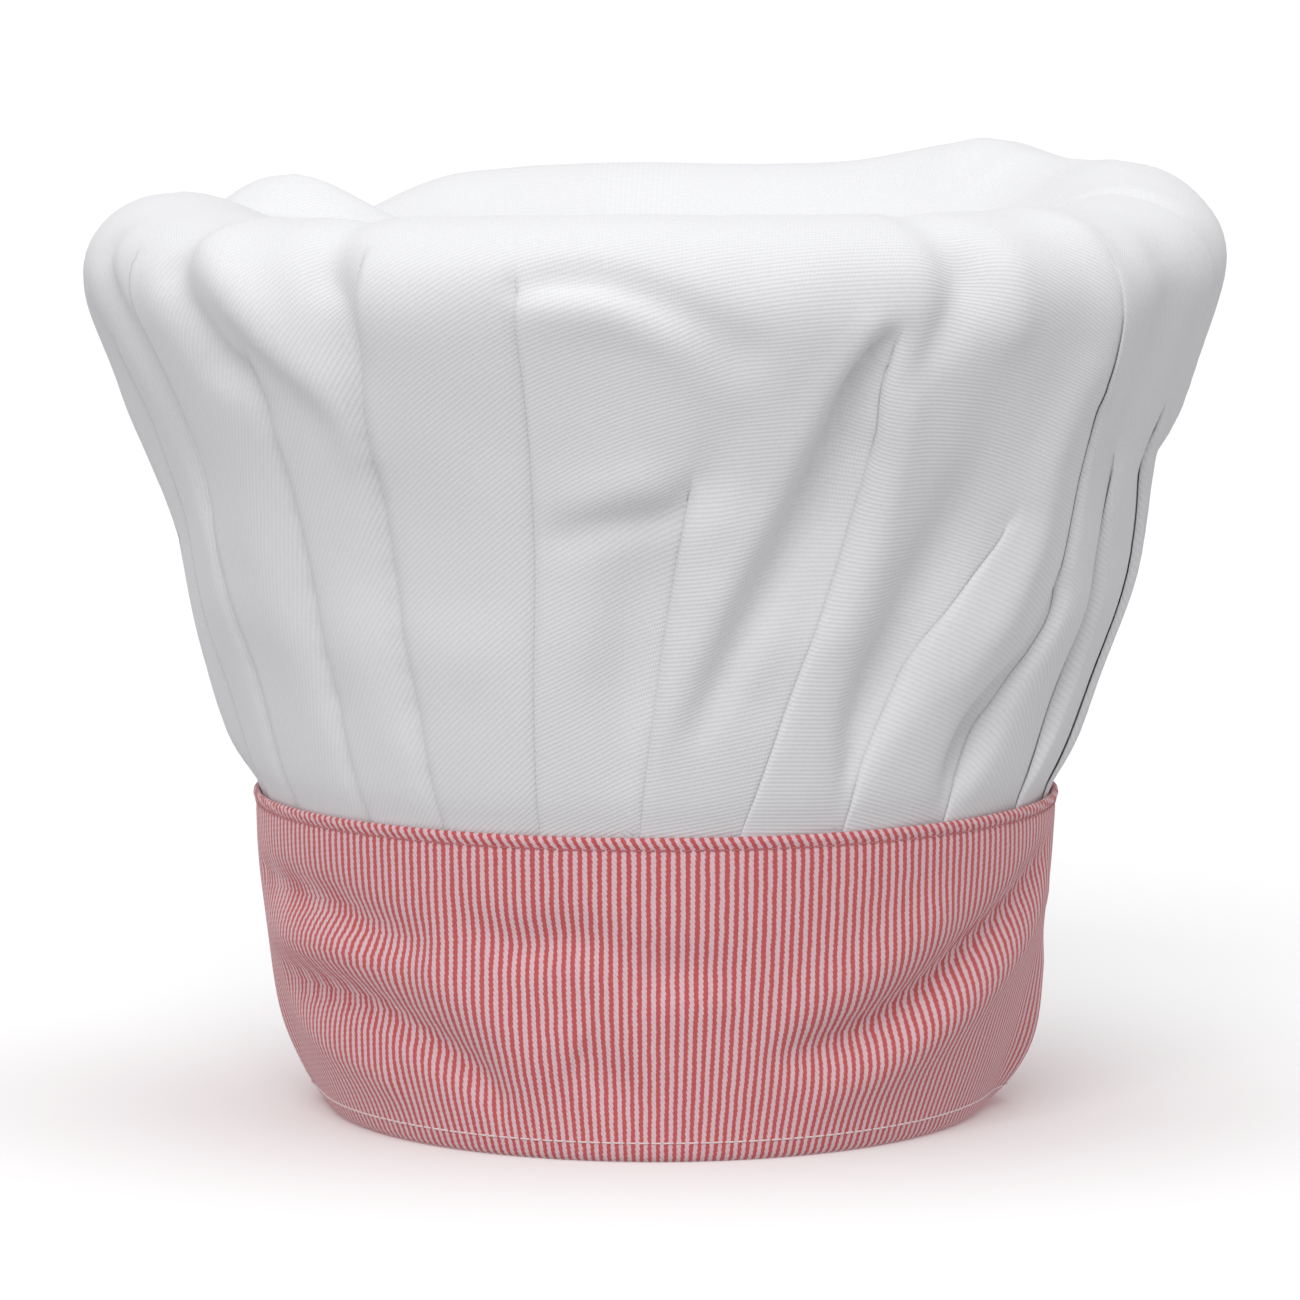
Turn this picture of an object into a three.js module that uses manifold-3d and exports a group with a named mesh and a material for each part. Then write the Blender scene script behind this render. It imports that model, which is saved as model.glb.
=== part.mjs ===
// Chef's toque: a soft crown, cut as one circle of white twill and knife-pleated into a striped headband
// that closes at the back with a hook-and-loop tab. Millimetres, +Z up. The origin is the middle of the
// head opening, level with the hem. The front faces -Y and the closure is at the back, +Y.
//
// Every piece is drawn in the headband's own cylinder: r from the middle, z up, and phi round the hat, with
// 0 at the front and growing towards +X. place() then squeezes that cylinder into the hat's real plan.
import * as THREE from "three";
import { mergeVertices } from "three/addons/utils/BufferGeometryUtils.js";
import Module from "manifold-3d";

const wasm = await Module();
wasm.setup();

const degrees = THREE.MathUtils.degToRad;

// Driving dimensions
const BAND_HEIGHT = 76;
const BAND_RADIUS = 96; // outer face of the headband, at the crown seam
const BAND_HALF_DEPTH = 97;
const HEM_HALF_WIDTH = 79; // the sides of the band curl in towards the hem
const HEM_CURL = 2.1; // how suddenly they curl
const RIM_RADIUS = 136; // the widest part of the crown
const RIM_HALF_DEPTH = 129;
const RIM_HEIGHT = 222;
const TOP_SAG = 20; // how far the middle of the top hangs below the rim
const RIM_LOBES = [
  { height: 2.4, count: 2, at: degrees(-40) },
  { height: 1.6, count: 5, at: degrees(20) },
];
const PLEATS = 25;
const FIRST_PLEAT = degrees(-2.3);
const PLEAT_DEPTH = 3;

// Layers of the headband, from its outer face inwards
const CLOTH = 0.6; // one layer of the striped cloth
const STIFFENER = 0.5;
const CROWN_CLOTH = 1.2; // the crown's pleated edge, three layers deep
const GAP = 0.3; // between pieces that touch
const BAND_INNER_RADIUS = BAND_RADIUS - 2 * CLOTH - STIFFENER - CROWN_CLOTH - 3 * GAP;
const POCKET_OUTER = BAND_RADIUS - CLOTH;
const POCKET_INNER = BAND_INNER_RADIUS + CLOTH;
const SEAM_ALLOWANCE = 12; // how deep the crown's edge is sewn into the band

// Where things are round the back
const HINGE = degrees(189); // the band's sewn end, where the closure tab starts
const KEYHOLE_START = degrees(175); // the crown's edge is free from here to the hinge
const UNDER_END = degrees(185.2); // the band's other end, under the tab
const TAB_FREE_END = degrees(154);
const KEYHOLE_RISE = 14;
const KEYHOLE_CLEARANCE = degrees(1.5); // between the crown's free edge and the ends of the band's pocket

const THREAD = 0.5;
const TOP_STITCH = BAND_HEIGHT - 2.6;
const HEM_STITCH = 4.6;

// The closure tab and its tapes
const TAB_HEM = 3; // the tab is this much lower than the band, above and below
const TAB_THICKNESS = 2 * CLOTH + STIFFENER + 2 * GAP;
const TAB_BEND = degrees(183); // from here to the hinge the tab steps in to the band's own radius
const TAPE_BASE = 0.4;
const TAPE_PILE = 0.6;
const TAPE_SELVEDGE = 3;
const LOOP_TAPE = { from: degrees(156), to: degrees(182), low: 14, high: 62 };
const HOOK_TAPE = { from: degrees(157.5), to: degrees(180.5), low: 16, high: 60 };

// Radii of the closure, from the band's face outwards
const LOOP_BASE = BAND_RADIUS + GAP;
const LOOP_FACE = LOOP_BASE + TAPE_BASE + TAPE_PILE;
const HOOK_FACE = LOOP_FACE + GAP + 0.1;
const HOOK_BASE = HOOK_FACE + TAPE_PILE;
const TAB_INNER = HOOK_BASE + TAPE_BASE + GAP;
const TAB_ROOT_INNER = BAND_INNER_RADIUS + 0.7;
const JOIN = 0.05; // joined solids run this far into each other

// The blank care label, caught in the band's inner top edge
const LABEL_AT = degrees(-155);
const LABEL_WIDTH = 18;
const LABEL_LENGTH = 36;
const LABEL_THICKNESS = 0.5;
const LABEL_OFF_WALL = 1.7;

const BAND_LEVELS = [0, 10, 25, 44, BAND_HEIGHT - SEAM_ALLOWANCE, BAND_HEIGHT]; // to follow the curl
const BAND_STEP = degrees(6);
const CORNERS_PER_PLEAT = [0, 0.5, 0.93];

// How much narrower and deeper the hat's plan is at height z than the cylinder it is drawn in
function widthShare(z) {
  const below = Math.max(0, 1 - z / BAND_HEIGHT);
  return 1 - (1 - HEM_HALF_WIDTH / BAND_RADIUS) * below ** HEM_CURL;
}

function depthShare(z) {
  const up = THREE.MathUtils.smoothstep(z, BAND_HEIGHT, RIM_HEIGHT);
  return THREE.MathUtils.lerp(BAND_HALF_DEPTH / BAND_RADIUS, RIM_HALF_DEPTH / RIM_RADIUS, up);
}

function place(r, z, phi) {
  return new THREE.Vector3(widthShare(z) * r * Math.sin(phi), -depthShare(z) * r * Math.cos(phi), z);
}

function movePoints(geometry, move) {
  const points = geometry.getAttribute("position");
  for (let i = 0; i < points.count; i++) {
    const moved = move(new THREE.Vector3().fromBufferAttribute(points, i));
    points.setXYZ(i, moved.x, moved.y, moved.z);
  }
  return geometry;
}

// Booleans
function solidOf(geometry) {
  const bare = geometry.clone();
  bare.deleteAttribute("normal");
  bare.deleteAttribute("uv");
  const merged = mergeVertices(bare, 1e-3);
  const corners = merged.index.array;
  const kept = [];
  for (let i = 0; i < corners.length; i += 3) {
    const triangle = corners.slice(i, i + 3);
    if (new Set(triangle).size === 3) kept.push(...triangle); // a lathe leaves flat ones on its axis
  }
  return new wasm.Manifold(
    new wasm.Mesh({
      numProp: 3,
      vertProperties: merged.getAttribute("position").array,
      triVerts: new Uint32Array(kept),
    }),
  );
}

function geometryOf(solid) {
  const mesh = solid.getMesh();
  const geometry = new THREE.BufferGeometry();
  geometry.setAttribute("position", new THREE.BufferAttribute(mesh.vertProperties, 3));
  geometry.setIndex(new THREE.BufferAttribute(mesh.triVerts, 1));
  geometry.computeVertexNormals();
  return geometry;
}

function cut(geometry, ...tools) {
  return geometryOf(tools.reduce((solid, tool) => solid.subtract(solidOf(tool)), solidOf(geometry)));
}

function join(first, ...others) {
  return geometryOf(others.reduce((solid, other) => solid.add(solidOf(other)), solidOf(first)));
}

// A closed outline in r and z: a wall between two radii, with points at each level so that it can follow
// the curl of the band's sides.
function wall(inner, outer, low, high) {
  const levels = [low, ...BAND_LEVELS.filter((z) => z > low + 1 && z < high - 1), high];
  const up = levels.map((z) => new THREE.Vector2(outer, z));
  const down = levels.map((z) => new THREE.Vector2(inner, z)).reverse();
  return new THREE.Shape([...up, ...down]);
}

function spread(from, to, steps) {
  return Array.from({ length: steps + 1 }, (_, i) => from + ((to - from) * i) / steps);
}

function round(from, to) {
  return spread(from, to, Math.max(1, Math.round((to - from) / BAND_STEP)));
}

// Sweeps an outline round the hat, through a list of azimuths. jog moves it outwards as it goes.
function sweep(outline, azimuths, jog = () => 0) {
  const steps = azimuths.length - 1;
  const geometry = new THREE.ExtrudeGeometry(outline, { depth: steps, steps, bevelEnabled: false });
  return movePoints(geometry, (p) => {
    const phi = azimuths[steps - Math.round(p.z)];
    return place(p.x + jog(phi), p.y, phi);
  });
}

// The crown's section, from its sewn edge up the side, over the rim and in to the middle of the top
function crownProfile() {
  const seam = POCKET_INNER + GAP + CROWN_CLOTH;
  const path = new THREE.Path().moveTo(seam, BAND_HEIGHT - SEAM_ALLOWANCE);
  path.lineTo(seam, BAND_HEIGHT + 0.3);
  for (const share of spread(0, 1, 5)) {
    const r = THREE.MathUtils.lerp(BAND_RADIUS + 1.5, RIM_RADIUS - 1.6, share);
    path.lineTo(r, THREE.MathUtils.lerp(BAND_HEIGHT + 5, RIM_HEIGHT - 19, share));
  }
  const middle = RIM_HEIGHT - TOP_SAG;
  path.bezierCurveTo(RIM_RADIUS + 3, RIM_HEIGHT - 5, RIM_RADIUS - 6, RIM_HEIGHT, RIM_RADIUS - 18, RIM_HEIGHT);
  path.bezierCurveTo(RIM_RADIUS * 0.6, RIM_HEIGHT, RIM_RADIUS * 0.4, middle, 0, middle);
  return path.getPoints(5);
}

// The same section moved inwards by the cloth's thickness
function inside(profile, thickness) {
  return profile.map((p, i) => {
    const before = profile[Math.max(0, i - 1)];
    const after = profile[Math.min(profile.length - 1, i + 1)];
    const along = after.clone().sub(before).normalize();
    const r = i === profile.length - 1 ? 0 : p.x - along.y * thickness;
    return new THREE.Vector2(r, p.y + (i === 0 ? 0 : along.x * thickness));
  });
}

// Knife pleats: each panel stands proud at its left edge and runs under the next one's edge.
function pleated(p) {
  const pitch = (2 * Math.PI) / PLEATS;
  const corner = Math.round((Math.atan2(p.x, p.z) / pitch) * CORNERS_PER_PLEAT.length);
  const panel = Math.floor(corner / CORNERS_PER_PLEAT.length);
  const share = CORNERS_PER_PLEAT[corner - panel * CORNERS_PER_PLEAT.length];
  const phi = FIRST_PLEAT + (panel + share) * pitch;
  const rise = THREE.MathUtils.clamp((p.y - BAND_HEIGHT - 3) / (RIM_HEIGHT - BAND_HEIGHT - 20), 0, 1);
  const r = Math.hypot(p.x, p.z);
  const outward = Math.min(1, r / RIM_RADIUS);
  const proud = PLEAT_DEPTH * Math.sin(Math.PI * rise) * (0.5 - share) * outward;
  const lobe = RIM_LOBES.reduce((sum, l) => sum + l.height * Math.cos(l.count * (phi - l.at)), 0);
  const lift = lobe * rise ** 2 * outward;
  return place(r + proud, p.y, phi).add(new THREE.Vector3(0, 0, lift));
}

function keyholeArch(margin, rise) {
  const left = BAND_RADIUS * Math.sin(HINGE + KEYHOLE_CLEARANCE) + margin;
  const right = BAND_RADIUS * Math.sin(KEYHOLE_START - KEYHOLE_CLEARANCE) - margin;
  const middle = (left + right) / 2;
  return { left, right, middle, half: (right - left) / 2, rise };
}

function crown() {
  const outer = crownProfile();
  const inner = inside(outer, CROWN_CLOTH);
  const lathe = new THREE.LatheGeometry(
    [...inner.reverse(), ...outer],
    PLEATS * CORNERS_PER_PLEAT.length,
  );
  const arch = keyholeArch(0, KEYHOLE_RISE);
  const low = BAND_HEIGHT - SEAM_ALLOWANCE - 2;
  const hole = new THREE.Shape().moveTo(arch.left, low).lineTo(arch.right, low);
  hole.lineTo(arch.right, BAND_HEIGHT);
  hole.absellipse(arch.middle, BAND_HEIGHT, arch.half, arch.rise, 0, Math.PI);
  const tool = new THREE.ExtrudeGeometry(hole, { depth: 40, bevelEnabled: false, curveSegments: 8 });
  tool.rotateX(Math.PI / 2).translate(0, BAND_RADIUS + 25, 0);
  return cut(movePoints(lathe, pleated), tool);
}

// A line that follows the keyhole's edge, inset from it, and proud of the crown's face
function keyholeLine(inset, proud) {
  const arch = keyholeArch(inset, KEYHOLE_RISE - 2 * inset);
  const flare = (RIM_RADIUS - BAND_RADIUS) / (RIM_HEIGHT - BAND_HEIGHT);
  const points = spread(0, Math.PI, 10).map((angle) => {
    const x = arch.middle + arch.half * Math.cos(angle);
    const up = inset + arch.rise * Math.sin(angle);
    const r = BAND_RADIUS - 1 + flare * up + proud;
    return new THREE.Vector3(x, Math.sqrt(r * r - x * x), BAND_HEIGHT + up);
  });
  return new THREE.CatmullRomCurve3(points);
}

function cordAlong(curve, radius, sides) {
  const corners = spread(0, 2 * Math.PI, sides).slice(1);
  const section = new THREE.Shape(
    corners.map((angle) => new THREE.Vector2(radius * Math.cos(angle), radius * Math.sin(angle))),
  );
  return new THREE.ExtrudeGeometry(section, { steps: 14, extrudePath: curve, bevelEnabled: false });
}

// The striped strip is folded at the hem. The crown's edge and the stiffener lie between its two walls.
function headband() {
  const start = HINGE - 2 * Math.PI;
  const margin = degrees(0.6);
  const body = sweep(wall(BAND_INNER_RADIUS, BAND_RADIUS, 0, BAND_HEIGHT), round(start, UNDER_END));
  const open = wall(POCKET_INNER, POCKET_OUTER, CLOTH, BAND_HEIGHT + 2);
  const closed = wall(POCKET_INNER, POCKET_OUTER, CLOTH, BAND_HEIGHT - CLOTH);
  return cut(
    body,
    sweep(open, round(start + margin, KEYHOLE_START - margin)),
    sweep(closed, round(KEYHOLE_START - 2 * margin, UNDER_END - margin)),
  );
}

function headbandStiffener() {
  const outer = POCKET_OUTER - GAP;
  const strip = wall(outer - STIFFENER, outer, CLOTH + GAP, BAND_HEIGHT - 2);
  const margin = degrees(1.2);
  return sweep(strip, round(HINGE - 2 * Math.PI + margin, UNDER_END - margin));
}

// A line of stitching round the band, on its outer face or, for the bobbin's thread, its inner face
function stitchRound(radius, z) {
  const line = wall(radius, radius + THREAD, z - THREAD / 2, z + THREAD / 2);
  return sweep(line, round(HINGE - 2 * Math.PI, UNDER_END));
}

function stitchUp(radius, phi, low, high, width = THREAD) {
  const half = width / 2 / radius;
  return sweep(wall(radius, radius + THREAD, low, high), [phi - half, phi + half]);
}

// The rectangle of stitching that holds a tape, just inside its edges, as one loop of thread
function tapeStitch(radius, { from, to, low, high }) {
  const inset = TAPE_SELVEDGE / 2;
  const [start, end] = [from + inset / radius, to - inset / radius];
  const rail = (z) => wall(radius, radius + THREAD, z - THREAD / 2, z + THREAD / 2);
  const post = wall(radius + JOIN, radius + THREAD - JOIN, low + inset, high - inset);
  const width = THREAD / radius;
  return join(
    sweep(rail(low + inset), round(start, end)),
    sweep(rail(high - inset), round(start, end)),
    sweep(post, [start + width / 2, start + 1.5 * width]),
    sweep(post, [end - 1.5 * width, end - width / 2]),
  );
}

// Hook or loop tape: a woven base with bare selvedges, and a raised field of pile on one face of it
function tape({ from, to, low, high }, base, pile) {
  const edge = TAPE_SELVEDGE / BAND_RADIUS;
  const field = wall(...pile, low + TAPE_SELVEDGE, high - TAPE_SELVEDGE);
  return join(
    sweep(wall(...base, low, high), round(from, to)),
    sweep(field, round(from + edge, to - edge)),
  );
}

function loopTape() {
  const top = LOOP_BASE + TAPE_BASE;
  return tape(LOOP_TAPE, [LOOP_BASE, top], [top - JOIN, LOOP_FACE]);
}

function hookTape() {
  return tape(HOOK_TAPE, [HOOK_BASE, HOOK_BASE + TAPE_BASE], [HOOK_FACE, HOOK_BASE + JOIN]);
}

// Short steps where the tab bends, so that the pieces nested in it keep their gaps
function alongTab(from, to) {
  return [...spread(from, TAB_BEND, 6), ...spread(TAB_BEND, to, 11).slice(1)];
}

// The tab leaves the band's thickness at the hinge and steps out over the tapes.
function tabJog(phi) {
  const inwards = THREE.MathUtils.smoothstep(phi, TAB_BEND + degrees(1.6), HINGE);
  return (TAB_INNER - TAB_ROOT_INNER) * (1 - inwards);
}

function closureTab() {
  const low = TAB_HEM;
  const high = BAND_HEIGHT - TAB_HEM;
  const root = HINGE - degrees(0.4);
  const [inner, outer] = [TAB_ROOT_INNER, TAB_ROOT_INNER + TAB_THICKNESS];
  const body = sweep(wall(inner, outer, low, high), alongTab(TAB_FREE_END, root), tabJog);
  const pocket = wall(inner + CLOTH, outer - CLOTH, low + 1, high - 1);
  return cut(body, sweep(pocket, alongTab(TAB_FREE_END + degrees(0.8), root + degrees(0.5)), tabJog));
}

function tabStiffener() {
  const inner = TAB_ROOT_INNER + CLOTH + GAP;
  const strip = wall(inner, inner + STIFFENER, TAB_HEM + 2, BAND_HEIGHT - TAB_HEM - 2);
  return sweep(strip, alongTab(TAB_FREE_END + degrees(1.5), HINGE - degrees(1.2)), tabJog);
}

// A flat flap with a short lip that reaches over the band's inner edge, where the seam holds it
function careLabel() {
  const face = BAND_INNER_RADIUS - LABEL_OFF_WALL;
  const top = BAND_HEIGHT + GAP + LABEL_THICKNESS;
  const lip = BAND_INNER_RADIUS - GAP;
  const outline = new THREE.Shape([
    new THREE.Vector2(face - LABEL_THICKNESS, top - LABEL_LENGTH),
    new THREE.Vector2(face, top - LABEL_LENGTH),
    new THREE.Vector2(face, top - LABEL_THICKNESS),
    new THREE.Vector2(lip, top - LABEL_THICKNESS),
    new THREE.Vector2(lip, top),
    new THREE.Vector2(face - LABEL_THICKNESS, top),
  ]);
  const flap = new THREE.ExtrudeGeometry(outline, { depth: LABEL_WIDTH, bevelEnabled: false });
  const out = new THREE.Vector3(Math.sin(LABEL_AT), -Math.cos(LABEL_AT), 0);
  const along = new THREE.Vector3(Math.cos(LABEL_AT), Math.sin(LABEL_AT), 0);
  return movePoints(flap, (p) => {
    const aside = LABEL_WIDTH / 2 - p.z;
    return out.clone().multiplyScalar(p.x).addScaledVector(along, aside).setZ(p.y);
  });
}

// Materials
const cloth = (color, roughness = 0.9) => new THREE.MeshStandardMaterial({ color, roughness, metalness: 0 });
const whiteTwill = cloth(0xeceef0);
const stripedTwill = cloth(0xd9a3ab);
const felt = cloth(0xe6e4de, 1);
const whiteThread = cloth(0xf2e9e6, 0.7);
const redThread = cloth(0x9c4a4e, 0.7);
const nylon = cloth(0xf0f0ec, 0.5);
const satin = cloth(0xf7f7f4, 0.4);

const toque = new THREE.Group();

function add(name, geometry, material) {
  const mesh = new THREE.Mesh(geometry, material);
  mesh.name = name;
  toque.add(mesh);
}

const faceThread = BAND_RADIUS + GAP;
const bobbinThread = BAND_INNER_RADIUS - GAP - THREAD;

add("crown", crown(), whiteTwill);
add("keyhole_binding", cordAlong(keyholeLine(1.6, 0), 1.1, 8), whiteTwill);
add("keyhole_binding_thread", cordAlong(keyholeLine(1.6, 1.8), 0.3, 4), whiteThread);
add("headband", headband(), stripedTwill);
add("headband_stiffener", headbandStiffener(), felt);
add("top_edge_thread", stitchRound(faceThread, TOP_STITCH), redThread);
add("top_edge_bobbin_thread", stitchRound(bobbinThread, TOP_STITCH), whiteThread);
add("hem_thread", stitchRound(faceThread, HEM_STITCH), whiteThread);
add("hem_bobbin_thread", stitchRound(bobbinThread, HEM_STITCH), whiteThread);
add("tab_seam_thread", stitchUp(faceThread, HINGE + degrees(1.5), 8, BAND_HEIGHT - 6), redThread);
add("bar_tack_left", stitchUp(faceThread, HINGE + degrees(0.6), 69.6, 71.6, 1), redThread);
add("bar_tack_right", stitchUp(faceThread, KEYHOLE_START, 67, 71.6, 1.4), redThread);
add("loop_tape", loopTape(), nylon);
add("loop_tape_thread", tapeStitch(LOOP_BASE + TAPE_BASE + GAP, LOOP_TAPE), whiteThread);
add("closure_tab", closureTab(), stripedTwill);
add("closure_tab_stiffener", tabStiffener(), felt);
add("hook_tape", hookTape(), nylon);
add("hook_tape_thread", tapeStitch(TAB_INNER + TAB_THICKNESS + GAP, HOOK_TAPE), whiteThread);
add("care_label", careLabel(), satin);

export default toque;
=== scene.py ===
"""A chef's toque: a white twill crown, knife-pleated into a striped headband that closes at the back.

Lengths are in millimetres until mesh() turns them into metres. Materials, lights and the camera are in
metres. Azimuths are in degrees round the hat: 0 is the front, -Y, and they grow towards +X.
"""

import math
import random

import bpy
import numpy as np
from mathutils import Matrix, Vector, noise


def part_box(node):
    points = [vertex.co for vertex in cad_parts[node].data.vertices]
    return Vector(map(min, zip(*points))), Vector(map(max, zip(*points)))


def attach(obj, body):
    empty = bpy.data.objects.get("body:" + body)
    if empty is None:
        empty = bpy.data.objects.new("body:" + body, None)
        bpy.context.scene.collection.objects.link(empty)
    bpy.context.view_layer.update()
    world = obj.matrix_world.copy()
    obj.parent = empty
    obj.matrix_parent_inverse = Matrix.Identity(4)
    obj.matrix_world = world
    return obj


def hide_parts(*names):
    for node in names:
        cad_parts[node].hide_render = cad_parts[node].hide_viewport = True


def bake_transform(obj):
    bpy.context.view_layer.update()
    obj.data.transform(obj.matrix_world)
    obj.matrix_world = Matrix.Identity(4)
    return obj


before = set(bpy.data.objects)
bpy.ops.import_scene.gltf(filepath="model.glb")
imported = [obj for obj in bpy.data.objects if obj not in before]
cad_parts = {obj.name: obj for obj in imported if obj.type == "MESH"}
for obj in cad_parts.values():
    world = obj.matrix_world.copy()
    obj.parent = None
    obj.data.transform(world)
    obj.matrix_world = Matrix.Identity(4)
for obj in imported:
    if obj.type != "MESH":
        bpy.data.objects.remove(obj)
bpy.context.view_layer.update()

MM = 0.001


def high_corner(node):
    """The high corner of a CAD piece's box, in millimetres"""
    return np.array(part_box(node)[1]) / MM


# ---------------------------------------------------------------- driving dimensions, from the frame
# the headband is drawn as a round one, then squeezed into its plan. SEAM is the height of its top edge.
BAND_RADIUS, BAND_DEPTH, SEAM = high_corner("headband")
HEM_WIDTH = 79.0  # half the width at the hem, where the sides have curled in
HEM_CURL = 2.1  # a higher one keeps that curl nearer the hem
RIM_RADIUS, RIM_DEPTH = high_corner("crown")[:2]
CREST = 221.0  # height of the crown's rim

# the crown is one circle of cloth
FLAT_RADIUS = 288.0  # from its middle to the seam line
PLEATS = 24
KEYHOLE = 6.4  # degrees of the circle that aren't pleated, over the closure
KEYHOLE_MIDDLE = -178.0  # its azimuth on the flat circle
PLEAT_SHARE = (360 - KEYHOLE) / PLEATS  # degrees of the circle in one pleat
KEYHOLE_RISE = 14.0  # of its arch, above the band

CLOTH = 0.45  # thickness of the crown's, the band's and the tab's cloth


def smoothstep(low, high, value):
    t = np.clip((np.asarray(value, float) - low) / (high - low), 0, 1)
    return t * t * (3 - 2 * t)


def mix(a, b, t):
    return a + (b - a) * t


def width_share(z):
    """The real hat's width at height z, as a share of the round one's"""
    below = np.maximum(0, 1 - z / SEAM)
    return 1 - (1 - HEM_WIDTH / BAND_RADIUS) * below**HEM_CURL


def depth_share(z):
    """The same for its depth, front to back"""
    return mix(BAND_DEPTH / BAND_RADIUS, RIM_DEPTH / RIM_RADIUS, smoothstep(SEAM, CREST, z))


def place(r, z, phi):
    """Points of the real hat, from radius, height and azimuth on the round one"""
    a = np.radians(phi)
    return np.stack([width_share(z) * r * np.sin(a), -depth_share(z) * r * np.cos(a), z], -1)


def unit(vectors):
    return vectors / np.linalg.norm(vectors, axis=-1)[..., None]


def distances(line):
    """How far each point of a line is from its start, along the line"""
    return np.concatenate([[0], np.cumsum(np.linalg.norm(np.diff(line, axis=0), axis=1))])


def resample(line, at, stations):
    """The points of a line at some stations along it, where at are the stations of its own points"""
    return np.stack([np.interp(stations, at, c) for c in line.T], -1)


def wobble(points, scale, seed):
    """Smooth noise from -1 to 1 at each point, changing over about scale millimetres."""
    flat = points.reshape(-1, 3) / scale
    shift = Vector((seed * 7.31, seed * 3.17, seed * 5.53))
    return np.array([noise.noise(Vector(p) + shift) for p in flat]).reshape(points.shape[:-1])


def through(knots, stations):
    """A smooth curve through (station, value) knots. It stays level past its ends."""
    at, value = np.array(knots, float).T
    x = np.clip(np.asarray(stations, float), at[0], at[-1])
    slope = np.gradient(value, at)
    i = np.clip(np.searchsorted(at, x) - 1, 0, len(at) - 2)
    h = at[i + 1] - at[i]
    t = (x - at[i]) / h
    return (
        (2 * t**3 - 3 * t**2 + 1) * value[i]
        + (t**3 - 2 * t**2 + t) * h * slope[i]
        + (3 * t**2 - 2 * t**3) * value[i + 1]
        + (t**3 - t**2) * h * slope[i + 1]
    )


def round_curve(knots, azimuth):
    """The same, for a closed curve round the hat"""
    turns = [(at + turn, value) for turn in (-360, 0, 360) for at, value in knots]
    return through(turns, (np.asarray(azimuth, float) + 180) % 360 - 180)


def smooth_line(points, count):
    """A smooth line through points, sampled evenly along its length"""
    p = np.array(points, float)
    q = np.concatenate([[2 * p[0] - p[1]], p, [2 * p[-1] - p[-2]]])
    fine = []
    for a, b, c, d in zip(q, q[1:], q[2:], q[3:]):
        for t in np.linspace(0, 1, 24, endpoint=False):
            bend = (2 * a - 5 * b + 4 * c - d) * t**2 + (3 * b - a - 3 * c + d) * t**3
            fine.append(0.5 * (2 * b + (c - a) * t + bend))
    fine = np.array(fine + [p[-1]])
    length = distances(fine)
    return resample(fine, length, np.linspace(0, 1, count) * length[-1])


# ---------------------------------------------------------------- meshes
def mesh(name, points, faces, uv=None):
    """An object from points in millimetres. uv is one pair per point, in millimetres of flat cloth."""
    data = bpy.data.meshes.new(name)
    data.from_pydata((np.asarray(points) * MM).tolist(), [], faces)
    if uv is not None:
        layer = data.uv_layers.new(name="flat")
        corner = np.zeros(len(data.loops), np.int32)
        data.loops.foreach_get("vertex_index", corner)
        layer.data.foreach_set("uv", (np.asarray(uv, float)[corner] * MM).ravel())
    data.shade_smooth()
    data.update()
    piece = bpy.data.objects.new(name, data)
    bpy.context.scene.collection.objects.link(piece)
    return piece


def grid_faces(rows, columns, wrap=False, keep=None):
    """The faces of a grid of points. wrap joins its last column to its first. keep may leave some out."""
    last = columns if wrap else columns - 1
    faces = []
    for i in range(rows - 1):
        for j in range(last):
            if keep is None or keep(i, j):
                k = (j + 1) % columns
                here, above = i * columns, (i + 1) * columns
                faces.append((here + j, here + k, above + k, above + j))
    return faces


def flipped(faces):
    return [tuple(reversed(f)) for f in faces]


def apply_modifiers(piece):
    bpy.context.view_layer.update()
    deps = bpy.context.evaluated_depsgraph_get()
    final = bpy.data.meshes.new_from_object(piece.evaluated_get(deps), depsgraph=deps)
    piece.modifiers.clear()
    piece.data = final
    final.shade_smooth()
    return piece


def thicken(piece, thickness):
    solid = piece.modifiers.new("thickness", "SOLIDIFY")
    solid.thickness = thickness * MM
    solid.offset = -1.0
    solid.use_even_offset = False
    return apply_modifiers(piece)


def sheet_of(name, points, across, up, thickness=CLOTH, turned=False):
    """A sheet from a grid of points. across and up are their places on the flat cloth, and turned swaps the
    sheet's two sides."""
    uv = np.stack(np.broadcast_arrays(across, up), -1)
    faces = grid_faces(*points.shape[:2])
    piece = mesh(name, points.reshape(-1, 3), flipped(faces) if turned else faces, uv.reshape(-1, 2))
    return thicken(piece, thickness)


# ---------------------------------------------------------------- the crown's shape
# Section of the crown from the seam to the crest of its rim, as (radius, height)
SIDE = [
    (94.3, 74.0), (95.6, 78.5), (99.0, 86.0), (104.5, 106.0), (109.5, 122.0), (113.0, 138.0),
    (118.0, 156.0), (125.5, 175.0), (131.6, 189.0), (134.8, 197.0), (135.6, 203.5), (133.6, 210.0),
    (128.6, 215.6), (121.0, 219.4), (112.0, 221.0),
]
SAG = 15.0  # how far the middle of the top hangs,
TOP_DROP = -11.0  # and how far the whole top stands from the rim's crest
POCKET_ROOM = 1.5  # the pleats are pressed into this depth between the band's walls
SIDE_ROWS = 70
TOP_ROWS = 24
KEYHOLE_COLUMNS = 24

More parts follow.
